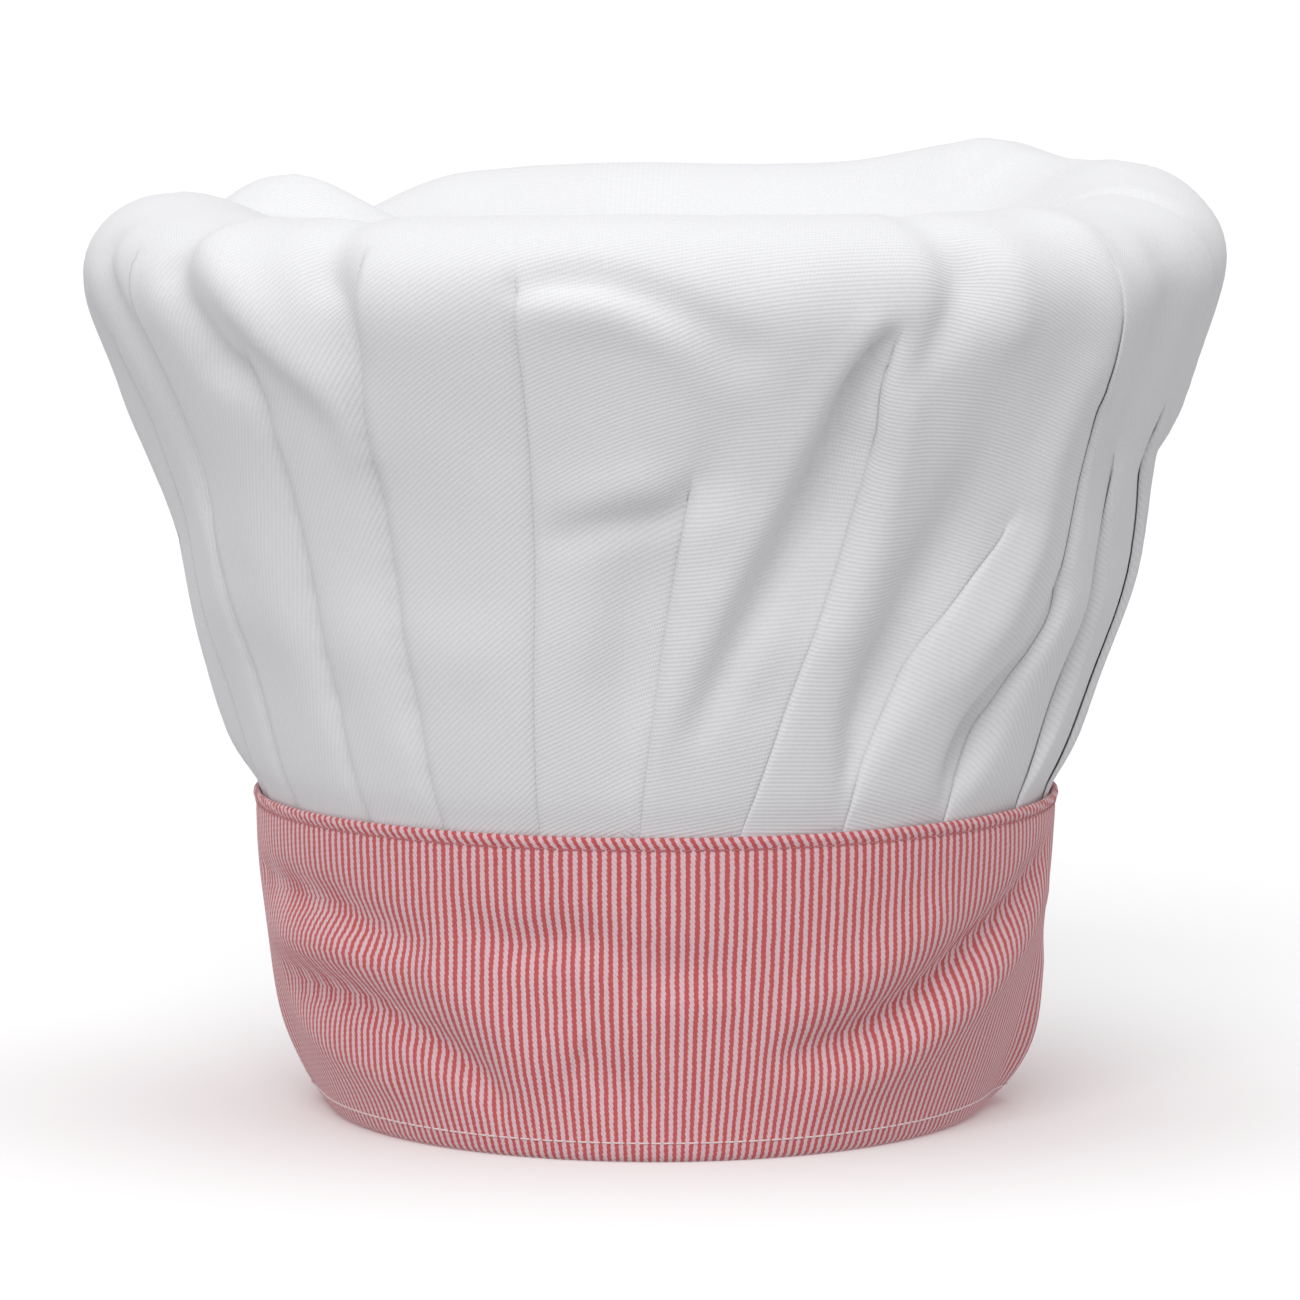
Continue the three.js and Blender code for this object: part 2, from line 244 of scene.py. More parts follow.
# Height of the rim's crest round the hat
CREST_KNOTS = [
    (-170, 217.5), (-162, 217), (-154, 215.5), (-146, 209.5), (-141, 204.5), (-136.5, 203), (-131.5, 215),
    (-128, 218.5), (-124, 217), (-118, 210.5), (-112, 209.5), (-105, 213), (-92, 218.5), (-60, 218),
    (-30, 221), (0, 222.5), (30, 222), (60, 220.5), (80, 222), (97, 225.5), (112, 223.5), (121, 223.4),
    (127, 225), (133.5, 227), (140, 224.8), (147.5, 221.8), (154, 219.5), (165, 218),
]

# The folds at the front, each as (height, azimuth, depth, roll) up the side. depth is the step down to the
# panel before it, and a higher roll makes that panel dive later and more sharply. Folds are numbered round
# the hat from the keyhole.
FRONT_FOLDS = {
    8: [(74, -63, 1.4, 6), (110, -63.9, 2.4, 8), (155, -65.5, 2.8, 8), (184, -64, 3.2, 6),
        (202, -65.5, 2, 5), (213, -67, 0, 4)],
    9: [(74, -44.8, 1.3, 6), (112, -45.7, 2.2, 8), (150, -45.8, 2.6, 8), (178, -46, 2.4, 6),
        (192, -46.5, 0, 4)],
    10: [(74, -31.2, 1.3, 6), (103, -32.1, 2.2, 8), (135, -33, 2.6, 8), (179, -31.8, 3.4, 6),
         (204, -30.8, 3, 4), (216, -31, 0, 3)],
    11: [(74, -16.5, 1.3, 5), (105, -15.6, 2, 7), (142, -14.2, 2.4, 7), (178, -13.6, 2.6, 5),
         (202, -13.8, 2, 3), (212, -14, 0, 2)],
    12: [(74, -2.3, 1.3, 2), (95, -0.8, 2.8, 2), (124, 1.4, 4.2, 2), (143, 3.0, 3.8, 2.5),
         (153, 3.7, 2.2, 3), (163, 4.2, 0, 2), (221, 6.5, 0, 2)],
    13: [(74, 11.9, 1.3, 3), (104, 17.4, 2.4, 3), (125, 21, 2.8, 3), (145, 24, 3.2, 3),
         (167, 25.5, 3.4, 4), (180, 24.9, 2.8, 4), (190, 25.0, 1.6, 5), (198, 25.2, 0, 5),
         (221, 27, 0, 2)],
    14: [(74, 27.6, 1.3, 3), (93, 30.1, 2.4, 3), (107, 33.9, 3, 4), (121, 37.9, 3, 4), (133, 42, 2.4, 4),
         (143, 45.2, 1.5, 4), (154, 47, 0, 3), (190, 43, 0, 2), (221, 40, 0, 2)],
    15: [(74, 45.8, 1.3, 3), (84, 47.5, 2, 3), (95, 51, 2.6, 4), (105, 54.7, 3.2, 5), (114, 58.4, 3.6, 5),
         (124, 61, 3.8, 6), (137, 61, 3.6, 6), (151, 60.3, 3, 6), (169, 58.0, 2, 6), (188, 53.6, 1.2, 5),
         (207, 51.5, 0.7, 4), (216, 51.5, 0, 3)],
    16: [(74, 64.8, 1.3, 2), (83, 66.8, 2.5, 2), (90, 69.2, 3.6, 2), (97, 71.9, 4.6, 2),
         (106, 74.4, 5, 2), (114, 75.2, 5, 2.2), (124, 74.4, 4.6, 2.6), (138, 71.8, 3.6, 3),
         (150, 69.2, 2.2, 3), (163, 67.4, 0, 3)],
    17: [(74, 78.8, 1.3, 2), (95, 85, 1.8, 2), (120, 89.5, 2.4, 2), (145, 87, 2.2, 3), (162, 83, 1.4, 4),
         (172, 81, 0, 3)],
}
FIRST_FOLD, LAST_FOLD = -169.5, 173.5  # azimuths at the seam, each side of the keyhole
# The folds at the sides and back, each as (lean, depth, height where it has opened out)
BACK_FOLDS = {
    0: (-2, 2.5, 150), 1: (-4, 3.5, 195), 2: (-3, 2.5, 165), 3: (-6, 4.5, 205), 4: (-2, 3.0, 170),
    5: (-4, 4.0, 200), 6: (1, 2.5, 150), 7: (-3, 3.5, 190), 18: (3, 1.6, 150), 19: (2, 3.0, 160),
    20: (5, 4.5, 205), 21: (1, 2.5, 155), 22: (4, 4.0, 200), 23: (3, 3.0, 170), 24: (2, 2.0, 150),
}


def fold_knots(k):
    """One fold's (height, azimuth, depth, roll) knots"""
    if k in FRONT_FOLDS:
        return FRONT_FOLDS[k]
    first, last = min(FRONT_FOLDS), max(FRONT_FOLDS)
    if k < first:
        seam = mix(FIRST_FOLD, FRONT_FOLDS[first][0][1], k / first)
    else:
        seam = mix(FRONT_FOLDS[last][0][1], LAST_FOLD, (k - last) / (PLEATS - last))
    lean, depth, top = BACK_FOLDS[k]
    leant = seam + lean
    return [
        (74, seam, 1.4, 2), (105, seam + 0.5 * lean, 0.8 * depth, 2), (0.5 * top + 60, leant, depth, 3),
        (top - 14, leant, 0.55 * depth, 3), (top, leant, 0, 2),
    ]


def folds_at(heights):
    """Azimuth, depth and roll of every fold at each height, and how far below its open end that height is:
    arrays of heights by folds"""
    found = []
    for k in range(PLEATS + 1):
        knots = np.array(fold_knots(k), float)
        top = knots[knots[:, 2] == 0][0, 0]
        azimuth, depth, roll = (through(knots[:, [0, column]], heights) for column in (1, 2, 3))
        found.append((azimuth, np.maximum(0, depth), np.maximum(1.2, roll), top - heights))
    return np.array(found).transpose(1, 2, 0)


def crown_rows():
    """Radius, height and distance along the cloth from the seam, for each row of the crown's mesh"""
    side = smooth_line(SIDE, SIDE_ROWS)
    crest_r, crest_z = side[-1]
    reach = np.linspace(0, 1, TOP_ROWS + 1)[1:]
    r = crest_r * (1 - reach)
    r[-1] = 0.4  # a small last ring, closed by a fan of faces
    z = crest_z - SAG * smoothstep(0, 1, reach)
    top = np.stack([r, z], -1)
    seam_r, seam_z = SIDE[0]
    sewn_in = np.array([[seam_r, seam_z - 10], [seam_r, seam_z - 5]])
    rows = np.concatenate([sewn_in, side, top])
    along = distances(rows)
    first = len(sewn_in)
    along = (along - along[first]) * FLAT_RADIUS / (along[-1] - along[first])
    return rows, along, first


# where a pleat's columns stand along its panel, closer and closer to the next fold, and along its turns
PANEL_STOPS = 1 - (1 - np.linspace(0, 1, 18, endpoint=False)) ** 1.5
THIRDS = np.array([0, 1 / 3, 2 / 3])
QUARTERS = np.array([0, 0.25, 0.5, 0.75])
LAYER_GAP = 0.5  # between the layers of a fold, middle to middle
COLUMNS = len(PANEL_STOPS) + 3 * len(THIRDS) + len(QUARTERS)  # in each pleat
VALLEY_WIDTH = 6.0  # how far an opened valley runs on beyond its fold


def pleat(w, u, d, power, closed, soft, spread, before):
    """One pleat in section: distance across, depth, and share of the pleat's cloth, at each of its columns.

    The cloth runs w across its panel and dives by d under the next fold. It runs on for u, turns back, and
    comes out as that next fold. Where the fold has opened out, closed goes from 1 to 0 and only a valley is
    left, and the columns spread evenly as spread goes from 1 to 0. before is the depth of such a valley at
    the panel's other side."""
    total = w + 2 * u + d
    turn_in, back, turn_out = w + u, w + u + d / 2, w + 2 * u + d / 2
    folded = np.concatenate([
        w * PANEL_STOPS, w + u * THIRDS, turn_in + d / 2 * THIRDS, back + u * THIRDS,
        turn_out + d / 2 * QUARTERS,
    ])
    s = mix(total * np.arange(COLUMNS) / COLUMNS, folded, spread)
    bulge = min(d / 6, 0.45) * closed
    rise = max(d / 2, d - LAYER_GAP)  # from the fold's underside to its edge
    slant = min(0.45 * rise, 2.2) * soft  # how far the fold's edge rolls over the panel before it
    foot = max(0.15 * d, min(rise, d * (1 - slant / w) ** power - 0.06 * closed))
    edge = (1 - closed) * d
    q = (s - turn_in) / max(d / 2, 1e-6)
    t = np.clip((s - back) / max(u, 1e-6), 0, 1)
    p = (s - turn_out) / max(d / 2, 1e-6)
    panel, going, inner, coming = s <= w, s <= turn_in, s <= back, s <= turn_out
    at = np.select(
        [panel, going, inner, coming],
        [s, s, turn_in + bulge * np.sin(np.pi * q), mix(w + u, w - slant, t)],
        w - slant * np.cos(np.pi / 2 * p) - bulge * np.sin(np.pi * p),
    )
    low = np.select(
        [panel, going, inner, coming],
        [
            d * np.clip(s / w, 0, 1) ** power + before * np.exp(-s / VALLEY_WIDTH),
            d,
            d - (d - rise) / 2 * (1 - np.cos(np.pi * q)),
            mix(rise, foot, t),
        ],
        edge + (foot - edge) / 2 * (1 + np.cos(np.pi * p)),
    )
    return at, low, s / total


def pleat_row(azimuth, depth, roll, left, radius, cloth, room):
    """One row of the crown: azimuth, depth under the surface and angle on the flat circle, by columns.
    The last fold may tuck only room millimetres of cloth under the keyhole's columns."""
    degree = math.radians(1) * radius  # millimetres in one degree
    wide = np.diff(azimuth) * degree
    next_wide = np.append(wide[1:], room)
    step = depth[1:]
    # a shallow fold, or one that is about to open out, tucks less cloth
    shallow = 8 * np.maximum(0, step - 1) + 0.5 * np.maximum(0, left[1:] - 25)
    opening = 0.5 * np.maximum(0, left[1:] - 8)
    longest = np.minimum(np.minimum(0.9 * next_wide, opening), shallow)
    under = np.clip((cloth - wide - step) / 2, 0, longest)
    closed = smoothstep(0.3, 0.95, step)
    spread = smoothstep(-12, 20, left[1:])
    soft = closed * smoothstep(-4, 14, azimuth[1:])
    start = KEYHOLE_MIDDLE + KEYHOLE / 2
    phi, down, flat = [], [], []
    before = 0.0
    for k in range(PLEATS):
        turn = closed[k], soft[k], spread[k]
        at, low, share = pleat(wide[k], under[k], step[k], roll[k + 1], *turn, before)
        before = (1 - closed[k]) * step[k]
        if k + 1 < PLEATS:  # what is tucked under the next panel follows it down
            beyond = np.clip((at - wide[k]) / next_wide[k], 0, 1)
            low = low + step[k + 1] * beyond ** roll[k + 2]
        phi.append(azimuth[k] + at / degree)
        down.append(low)
        flat.append(start + PLEAT_SHARE * (k + share))
    gap = keyhole_columns()
    phi.append(mix(azimuth[-1], azimuth[0] + 360, gap))
    down.append(before * np.exp(-gap * 3))
    flat.append(start + 360 - KEYHOLE + KEYHOLE * gap)
    return np.concatenate(phi), np.concatenate(down), np.concatenate(flat)


def keyhole_columns():
    """Where the columns over the keyhole stand, as shares of its width"""
    return (1 - np.cos(np.pi * np.arange(KEYHOLE_COLUMNS) / KEYHOLE_COLUMNS)) / 2


# Soft valleys and swellings in the crown, each a line of (azimuth, height, half width, depth). A negative
# depth is a swelling.
DENTS = [
    # the open valley before the fold at 28 degrees, and the hollow before the one at 46
    [(27, 84, 2.5, 0.8), (27.6, 95, 4, 3.6), (29, 106, 6, 8), (31.5, 117, 8, 10), (34, 130, 9, 9),
     (37, 145, 10, 6), (38.5, 160, 10, 2.5), (38.5, 176, 9, 1)],
    [(45.4, 80, 3, 1.8), (46.4, 90, 4.5, 6), (48.6, 98, 5.5, 8), (51.5, 106, 4.5, 6),
     (55.5, 114, 3.5, 2.4), (60, 130, 3, 1.4)],
    # the swelling between them, and the one that runs up to the rim
    [(42.5, 112, 6, -1.4), (48, 130, 6.5, -2.8), (50.8, 147, 6.5, -3.6), (50, 164, 7, -3.4),
     (51, 182, 7, -2)],
    # the ridge that leans over the third front panel, and the long hollow behind it
    [(0, 99, 6, -0.6), (3, 108, 6, -1.6), (8, 128, 6, -2.8), (12.6, 146, 6, -3.4), (16.2, 163, 5.5, -3.2),
     (18.6, 179, 5, -2.6), (21.6, 196, 4, -1.4)],
    [(5.4, 103, 4, 1.6), (9, 118, 5.5, 5), (13.2, 135, 6.5, 8), (17, 150, 7, 9.6), (20, 168, 6.4, 9.8),
     (21.6, 182, 5, 8.6), (23.6, 192, 3.6, 4)],
    [(14, 110, 8, 1.6), (18, 130, 9, 3), (21.5, 148, 8, 3), (23.2, 164, 6, 2.4)],
    [(22.4, 124, 5, -1), (26, 143, 5, -1.6), (27.4, 161, 5, -1.6), (27.6, 178, 4, -1)],
    # the hollow before the fold at the front
    [(-4.6, 92, 5, 1), (-4.4, 112, 8, 3), (-2.6, 130, 9, 3.4), (-1.5, 144, 8, 2)],
    # the pocket under the rim, and the hollow beside it
    [(31, 216, 6, 2), (32, 208, 7.5, 5), (31, 199, 6.5, 4.6), (29, 190, 4, 1.8)],
    [(38, 208, 7, -2), (38, 196, 7, -2)],
    # the arc and the tuck at the front
    [(-14, 206, 3, 1.4), (-9, 208.5, 3.4, 3), (-3.5, 207, 3.8, 3.2), (2.3, 201, 4.4, 3),
     (8.4, 191, 5.5, 2)],
    [(-11, 202, 5, -1.4), (-4, 201, 5.5, -2), (1, 195, 6, -1.8), (4, 186, 6, -0.8)],
    [(-11, 148, 4, 1.2), (-4, 150.5, 4, 2.8), (2, 153, 4, 3), (5.5, 161, 5, 2), (8, 172, 7, 1.2)],
    [(-9, 157, 5, -1), (-2, 160, 5, -1.6)],
    [(7, 150, 7, -1.8), (6, 136, 7, -1.4)],
    # the left, with the creases of its folds
    [(-65.4, 84, 2, 0.6), (-66.2, 112, 2.2, 1.4), (-67.4, 150, 2.4, 1.6), (-66.4, 184, 2.4, 1.4)],
    [(-46.6, 84, 2, 0.6), (-47.4, 112, 2.2, 1.4), (-47.3, 150, 2.4, 1.6), (-47.4, 178, 2.4, 1.2)],
    [(-32.6, 84, 2, 0.5), (-33.6, 104, 2.2, 1.1), (-34.3, 136, 2.4, 1.2), (-33, 180, 2.6, 1.4)],
    [(-53, 214, 5, -2), (-45.6, 204, 6, -4.4), (-40.4, 192, 6, -4.6), (-36, 181, 6, -3),
     (-34, 168, 6, -1.2)],
    [(-37, 216, 6, 3), (-35, 208, 6.5, 5.4), (-33.4, 197, 5, 4), (-32.6, 186, 4, 2)],
    [(-57, 208, 7, 3.4), (-53, 194, 7, 4.4), (-50, 184, 5, 3)],
    [(-54, 184.5, 4, 1), (-48.5, 184, 4, 2.4), (-46.4, 176, 3.5, 1.4)],
    [(-76, 208, 7, 2.4), (-71, 193, 7, 3.4), (-68, 176, 6, 2.4), (-67, 150, 6, 1.4)],
    [(-49, 160, 7, 1), (-48.4, 134, 7, 1.6), (-47, 106, 6, 1.2)],
    [(-35, 156, 7, 1), (-35.6, 130, 7, 1.8), (-34, 104, 6, 1.4)],
    [(-90, 86, 14, -1.6), (-90, 101, 16, -3.6), (-90, 120, 17, -2.4), (-90, 142, 16, -1.8),
     (-90, 168, 15, -3.4), (-89, 186, 14, -2.2)],
    # the ridge at 52 degrees and the broad flat panel past it
    [(50.5, 214, 7, -2), (52, 197, 7, -3.4), (55.5, 180, 6, -2)],
    [(64, 207, 11, 3), (66, 187, 12, 4.4), (67, 166, 10, 3)],
    [(77, 218, 4, 2), (79, 207, 4.5, 2.6), (81, 192, 4, 1.4)],
    [(90, 84, 12, -1.2), (91, 97, 14, -2.8), (92, 112, 15, -4.2), (92, 128, 15, -4.6),
     (91, 146, 13, -2.8), (93, 158, 8, -2.4), (94, 168, 13, -5), (93, 186, 14, -3.4)],
    # the back
    [(128, 205, 12, -2), (134, 180, 14, -3), (132, 150, 12, -2)],
    [(150, 200, 10, 3), (154, 178, 11, 3.5), (150, 156, 9, 2)],
    [(-120, 206, 10, 2.5), (-126, 184, 12, 3.5), (-122, 158, 10, 2)],
    [(-148, 196, 12, 2), (-152, 172, 12, 3), (-158, 150, 9, 1.5)],
    [(174, 192, 12, -2.5), (178, 168, 13, -3)],
]


def pushed_in(lines, phi, z, radius):
    """How far a set of dents pushes each point in"""
    total = np.zeros_like(z)
    for line in lines:
        middle = smooth_line(line, 30)
        deepest = np.zeros_like(z)
        for a, b, half, depth in middle:
            apart = (phi - a + 180) % 360 - 180
            away = (apart * math.radians(1) * radius) ** 2 + (z - b) ** 2
            here = depth * np.exp(-away / half**2)
            deepest = np.where(np.abs(here) > np.abs(deepest), here, deepest)
        total += deepest
    return total


def crown_surface():
    """Points and flat-cloth coordinates of the crown, by rows from its sewn edge to the middle of its top"""
    rows, along, first = crown_rows()
    side_end = first + SIDE_ROWS - 1
    number = np.arange(len(rows))
    slope = unit(np.gradient(rows, axis=0))
    heights = np.where(number > side_end, CREST, np.clip(rows[:, 1], SEAM - 2, CREST))
    azimuth, depth, roll, left = folds_at(heights)
    laid = []
    for i in number:
        row = min(i, side_end)
        cloth = (FLAT_RADIUS - max(along[row], 0)) * math.radians(PLEAT_SHARE)
        room = mix(3.0, 28.0, smoothstep(94, 114, heights[i]))  # little beside the keyhole's arch
        laid.append(pleat_row(azimuth[i], depth[i], roll[i], left[i], rows[row, 0], cloth, room))
    phi, down, angle = np.array(laid).transpose(1, 0, 2)
    share = np.clip((number - first) / SIDE_ROWS, 0, 1)[:, None]
    over_top = np.clip((number - side_end) / TOP_ROWS, 0, 1)[:, None]
    r, z = rows[:, :1] + 0 * phi, rows[:, 1:] + 0 * phi
    pressed = POCKET_ROOM * (1 - np.exp(-down / POCKET_ROOM))
    down = mix(pressed, down, smoothstep(SEAM - 1, SEAM + 9, z))
    loose = smoothstep(0, 0.1, share) * (1 - smoothstep(0.0, 0.5, over_top))
    push = -down - loose * pushed_in(DENTS, phi, z, np.maximum(r, 1))
    crest = round_curve(CREST_KNOTS, phi) - CREST
    lift = share**1.5 * mix(crest, TOP_DROP, smoothstep(0, 0.35, over_top))
    points = place(r + slope[:, 1:] * push, z - slope[:, :1] * push + lift * (z > SEAM), phi)
    a = np.radians(angle)
    flats = (FLAT_RADIUS - along)[:, None, None] * np.stack([np.sin(a), -np.cos(a)], -1)
    raise_keyhole(points, flats, first, side_end)
    return points, flats, first


def raise_keyhole(points, flats, first, side_end):
    """The columns over the keyhole start on its arch instead of in the band."""
    for j, across in enumerate(keyhole_columns()):
        column = points.shape[1] - KEYHOLE_COLUMNS + j
        rise = KEYHOLE_RISE * math.sqrt(max(0, 1 - (2 * across - 1) ** 2)) / (CREST - SEAM)
        level = np.linspace(0, 1, side_end + 1 - first)
        moved = rise + (1 - rise) * level
        for grid in (points, flats):
            part = grid[first : side_end + 1, column]
            grid[first : side_end + 1, column] = resample(part, level, moved)


def soft_noise(points):
    """Small uneven swelling of the cloth, which grows above the seam"""
    height = points[..., 2]
    loose = smoothstep(SEAM + 4, SEAM + 50, height)
    push = 1.7 * wobble(points, 46, 1) + 0.6 * wobble(points, 17, 2)
    out = points.copy()  # from a point inside the hat, and mostly sideways
    out[..., 2] *= 0.4
    out[..., 2] -= 40
    return points + unit(out) * (loose * push)[..., None]


def build_crown():
    """The crown, and the line of its free edge over the keyhole"""
    points, flats, first = crown_surface()
    points = soft_noise(points)
    rows, columns = points.shape[:2]
    opening = columns - KEYHOLE_COLUMNS

    def keep(i, j):
        return i >= first or j < opening - 1

    faces = grid_faces(rows, columns, wrap=True, keep=keep)
    last = (rows - 1) * columns
    faces += [(last + j, last + (j + 1) % columns, rows * columns) for j in range(columns)]
    middle = points[-1].mean(axis=0)
    corners = np.concatenate([points.reshape(-1, 3), [middle]])
    piece = mesh("crown_cloth", corners, faces, np.concatenate([flats.reshape(-1, 2), [(0, 0)]]))
    edge = np.concatenate([points[first, opening:], points[first, :1]])
    return thicken(piece, CLOTH), edge


# ---------------------------------------------------------------- the headband's shape
# Wrinkles, each a line of (azimuth, height, half width, depth). A negative depth is a ridge.
WRINKLES = [
    [(-80, 57, 4, 1.2), (-66, 56, 4.5, 3.2), (-54, 54.5, 5, 3.8), (-45, 51, 5, 3), (-37, 49.5, 5, 1.4)],
    [(-80, 45, 5, -1), (-66, 44, 5.5, -2.4), (-52, 44, 5.5, -2.8), (-42, 42, 5, -1.6)],
    [(-74, 34, 4.5, 1.4), (-64, 34, 5, 3.6), (-52, 33, 5, 4.2), (-43, 29.5, 5, 4.2), (-36, 25, 5, 4.4),
     (-30, 20, 4.5, 4), (-26, 14.5, 4, 2)],
    [(-76, 23, 6, -0.8), (-60, 19, 6, -2.2), (-48, 15, 5, -2)],
    [(-34, 40, 7, -2.2), (-26, 33, 7, -2.4), (-20, 22, 6, -1.4)],
    [(-27, 54, 5, 1.2), (-20, 50.5, 5, 2.8), (-12, 52, 5, 2.4), (-5, 50, 5, 1)],
    [(79, 66, 4, 1), (70, 58, 5, 3), (60, 50, 5, 4.2), (51, 43, 5, 4.8), (42, 35, 5, 4.8),
     (33, 29, 4.6, 4.6), (25, 25.5, 4, 3.2), (19, 24, 3.6, 1)],
    [(80, 52, 6, -1), (66, 41, 6.5, -2.2), (52, 29, 6.5, -2.8), (40, 20, 6, -2.6), (28, 14, 5, -1.2)],
    [(44, 52, 7, -1.6), (33, 42, 7, -2), (22, 35, 6, -1.2)],
    [(-4, 43, 6, 0.8), (2, 45, 6, 1.6), (10, 44, 6, 1)],
    [(2, 36, 5, -0.8), (9, 38, 5, -1)],
    [(-14, 28, 6, -1), (-8, 20, 6, 1.4), (-2, 15, 5, 0.8)],
    [(110, 58, 6, 1), (135, 48, 6, 2), (150, 30, 6, 1)],
    [(-110, 30, 6, 1), (-135, 42, 6, 2), (-155, 55, 6, 1)],
    [(-90, 7, 8, -2.2), (-90, 20, 9, -3), (-88, 36, 9, -0.8)],
    [(88, 5, 7, -4), (88, 15, 9, -6), (88, 30, 9, -3)],
]


def band_push(phi, z):
    """How far the wrinkles push the band in. They fade at its hem, its top and its closure."""
    phi, z = np.broadcast_arrays(np.asarray(phi, float), np.asarray(z, float))
    free = smoothstep(-4, 6, z) * (1 - smoothstep(SEAM - 14, SEAM - 3, z))
    return pushed_in(WRINKLES, phi, z, BAND_RADIUS) * free * (1 - smoothstep(150, 166, np.abs(phi)))


def band_point(off, z, phi):
    """A point of the headband, off millimetres outside its outer face"""
    z = np.broadcast_to(z, np.broadcast(z, phi).shape)
    phi = np.broadcast_to(phi, z.shape)
    base = place(BAND_RADIUS - band_push(phi, z) + off, z, phi)
    free = smoothstep(0, 10, z) * smoothstep(SEAM, SEAM - 12, z)
    uneven = 0.5 * wobble(place(BAND_RADIUS, z, phi), 30, 5) * free
    return base + outwards(phi) * uneven[..., None]


def outwards(phi, tilt=0.0):
    """Unit vectors that point away from the hat's axis at each azimuth, tilted down by some degrees"""
    a = np.radians(phi) + np.zeros(np.shape(phi))
    down = math.radians(tilt)
    return np.stack([math.cos(down) * np.sin(a), -math.cos(down) * np.cos(a), 0 * a - math.sin(down)], -1)


BAND_START, BAND_END = -171.0, 185.2  # azimuths of its two ends, which lap at the back
BAND_INNER = -3.8  # offset of the band's inner face


def band_section():
    """The strip of cloth in section, as (offset, height): from its turned-in top edge down the outside,
    round the hem, up the inside and in again."""
    outer = [
        (-1.5, SEAM - 9), (-1.45, SEAM - 4), (-1.25, SEAM - 1.2), (-0.8, SEAM + 0.1), (-0.15, SEAM + 0.45),
        (0.4, SEAM - 0.05), (0.55, SEAM - 0.9), (0.32, SEAM - 1.8), (-0.18, SEAM - 2.5),
        (-0.06, SEAM - 3.3), (0, SEAM - 4.5),
    ]
    down = [(0, z) for z in np.linspace(SEAM - 7, 4, 25)]
    hem = [(-0.1, 1.6), (-0.8, 0.4), (-1.9, 0.05), (-3.0, 0.4), (-3.7, 1.6)]
    up = [(BAND_INNER, z) for z in np.linspace(4, SEAM - 6, 9)]
    inner = [
        (BAND_INNER, SEAM - 2), (BAND_INNER + 0.2, SEAM - 0.2), (BAND_INNER + 0.7, SEAM + 0.1),
        (BAND_INNER + 1.0, SEAM - 1), (BAND_INNER + 1.0, SEAM - 8),
    ]
    return np.array(outer + down + hem + up + inner)


def build_band():
    """The headband: one strip of striped cloth. Under the keyhole its top edges are sewn to each other, and
    its other end is pressed flat."""
    section = band_section()
    phi = np.linspace(BAND_START, BAND_END, 840)[None, :]
    off, z = section[:, :1], section[:, 1:]
    ridge = smoothstep(SEAM - 2.6, SEAM - 1, z) * (np.arange(len(section)) < 10)[:, None]
    pucker = 0.1 * np.sin(np.radians(phi) * BAND_RADIUS * 2 * np.pi / STITCH - z * 1.3)
    sewn = smoothstep(SEAM - 14, SEAM - 2, z) * smoothstep(174.2, 176, phi)
    flat = 0.75 * smoothstep(183.8, BAND_END, phi)
    off = mix(off + pucker * ridge, 0.35 * off, sewn)
    points = band_point(mix(off, BAND_INNER / 2, flat), z, phi)
    lean = 1.5 * smoothstep(SEAM - 2.8, SEAM + 0.4, z)  # the top fold takes the stripes a little aside
    across = np.radians(phi) * BAND_RADIUS + lean
    return sheet_of("headband_cloth", points, across, distances(section)[:, None], turned=True)


def strip(name, at_phi, at_z, off, thickness, rows=20, columns=40):
    """A piece of cloth or tape that lies along the band, off millimetres outside its outer face"""
    phi = np.linspace(*at_phi, columns)[None, :]
    z = np.linspace(*at_z, rows)[:, None]
    return sheet_of(name, band_point(off, z, phi), np.radians(phi) * BAND_RADIUS, z, thickness)


# ---------------------------------------------------------------- threads
STITCH = 2.9  # from one stitch to the next


def tubes(name, paths, outward, radius, sides=6):
    """Round threads along some paths, in one mesh. outward is a direction across each path."""
    points, faces, uv = [], [], []
    base = 0
    turn = np.linspace(0, 2 * np.pi, sides, endpoint=False)
    for path, out in zip(paths, outward):
        along = unit(np.gradient(path, axis=0))
        first = unit(out - along * np.sum(along * out, axis=1)[:, None])
        second = np.cross(along, first)
        ring = np.cos(turn)[:, None] * first[:, None] + np.sin(turn)[:, None] * second[:, None]
        count = len(path)
        points.append((path[:, None] + radius * ring).reshape(-1, 3))
        faces += [tuple(base + v for v in f) for f in grid_faces(count, sides, wrap=True)]
        faces.append(tuple(base + j for j in reversed(range(sides))))
        faces.append(tuple(base + (count - 1) * sides + j for j in range(sides)))
        base += count * sides
        flat = np.broadcast_arrays(distances(path)[:, None], radius * turn)
        uv.append(np.stack(flat, -1).reshape(-1, 2))
    return mesh(name, np.concatenate(points), faces, np.concatenate(uv))


def stitching(name, path, outward, pitch=STITCH, radius=0.22, dive=0.75):
    """A line of stitches: a thread that lies along the path and goes through the cloth between stitches"""
    run = distances(path)
    stitches = max(1, round(run[-1] / pitch))
    at = np.linspace(0, run[-1], stitches * 9 + 1)
    line, out = resample(path, run, at), resample(outward, run, at)
    phase = at / run[-1] * stitches
    height = 0.75 * radius - dive * (0.5 + 0.5 * np.cos(2 * np.pi * phase)) ** 7
    return tubes(name, [line + out * height[:, None]], [out], radius)


def stitched_round(name, off, z, side):
    """Stitches right round the band. side is -1 on its inner face."""
    phi = np.linspace(BAND_START + 0.3, BAND_END - 0.6, 700)
    return stitching(name, band_point(off, z, phi), side * outwards(phi))


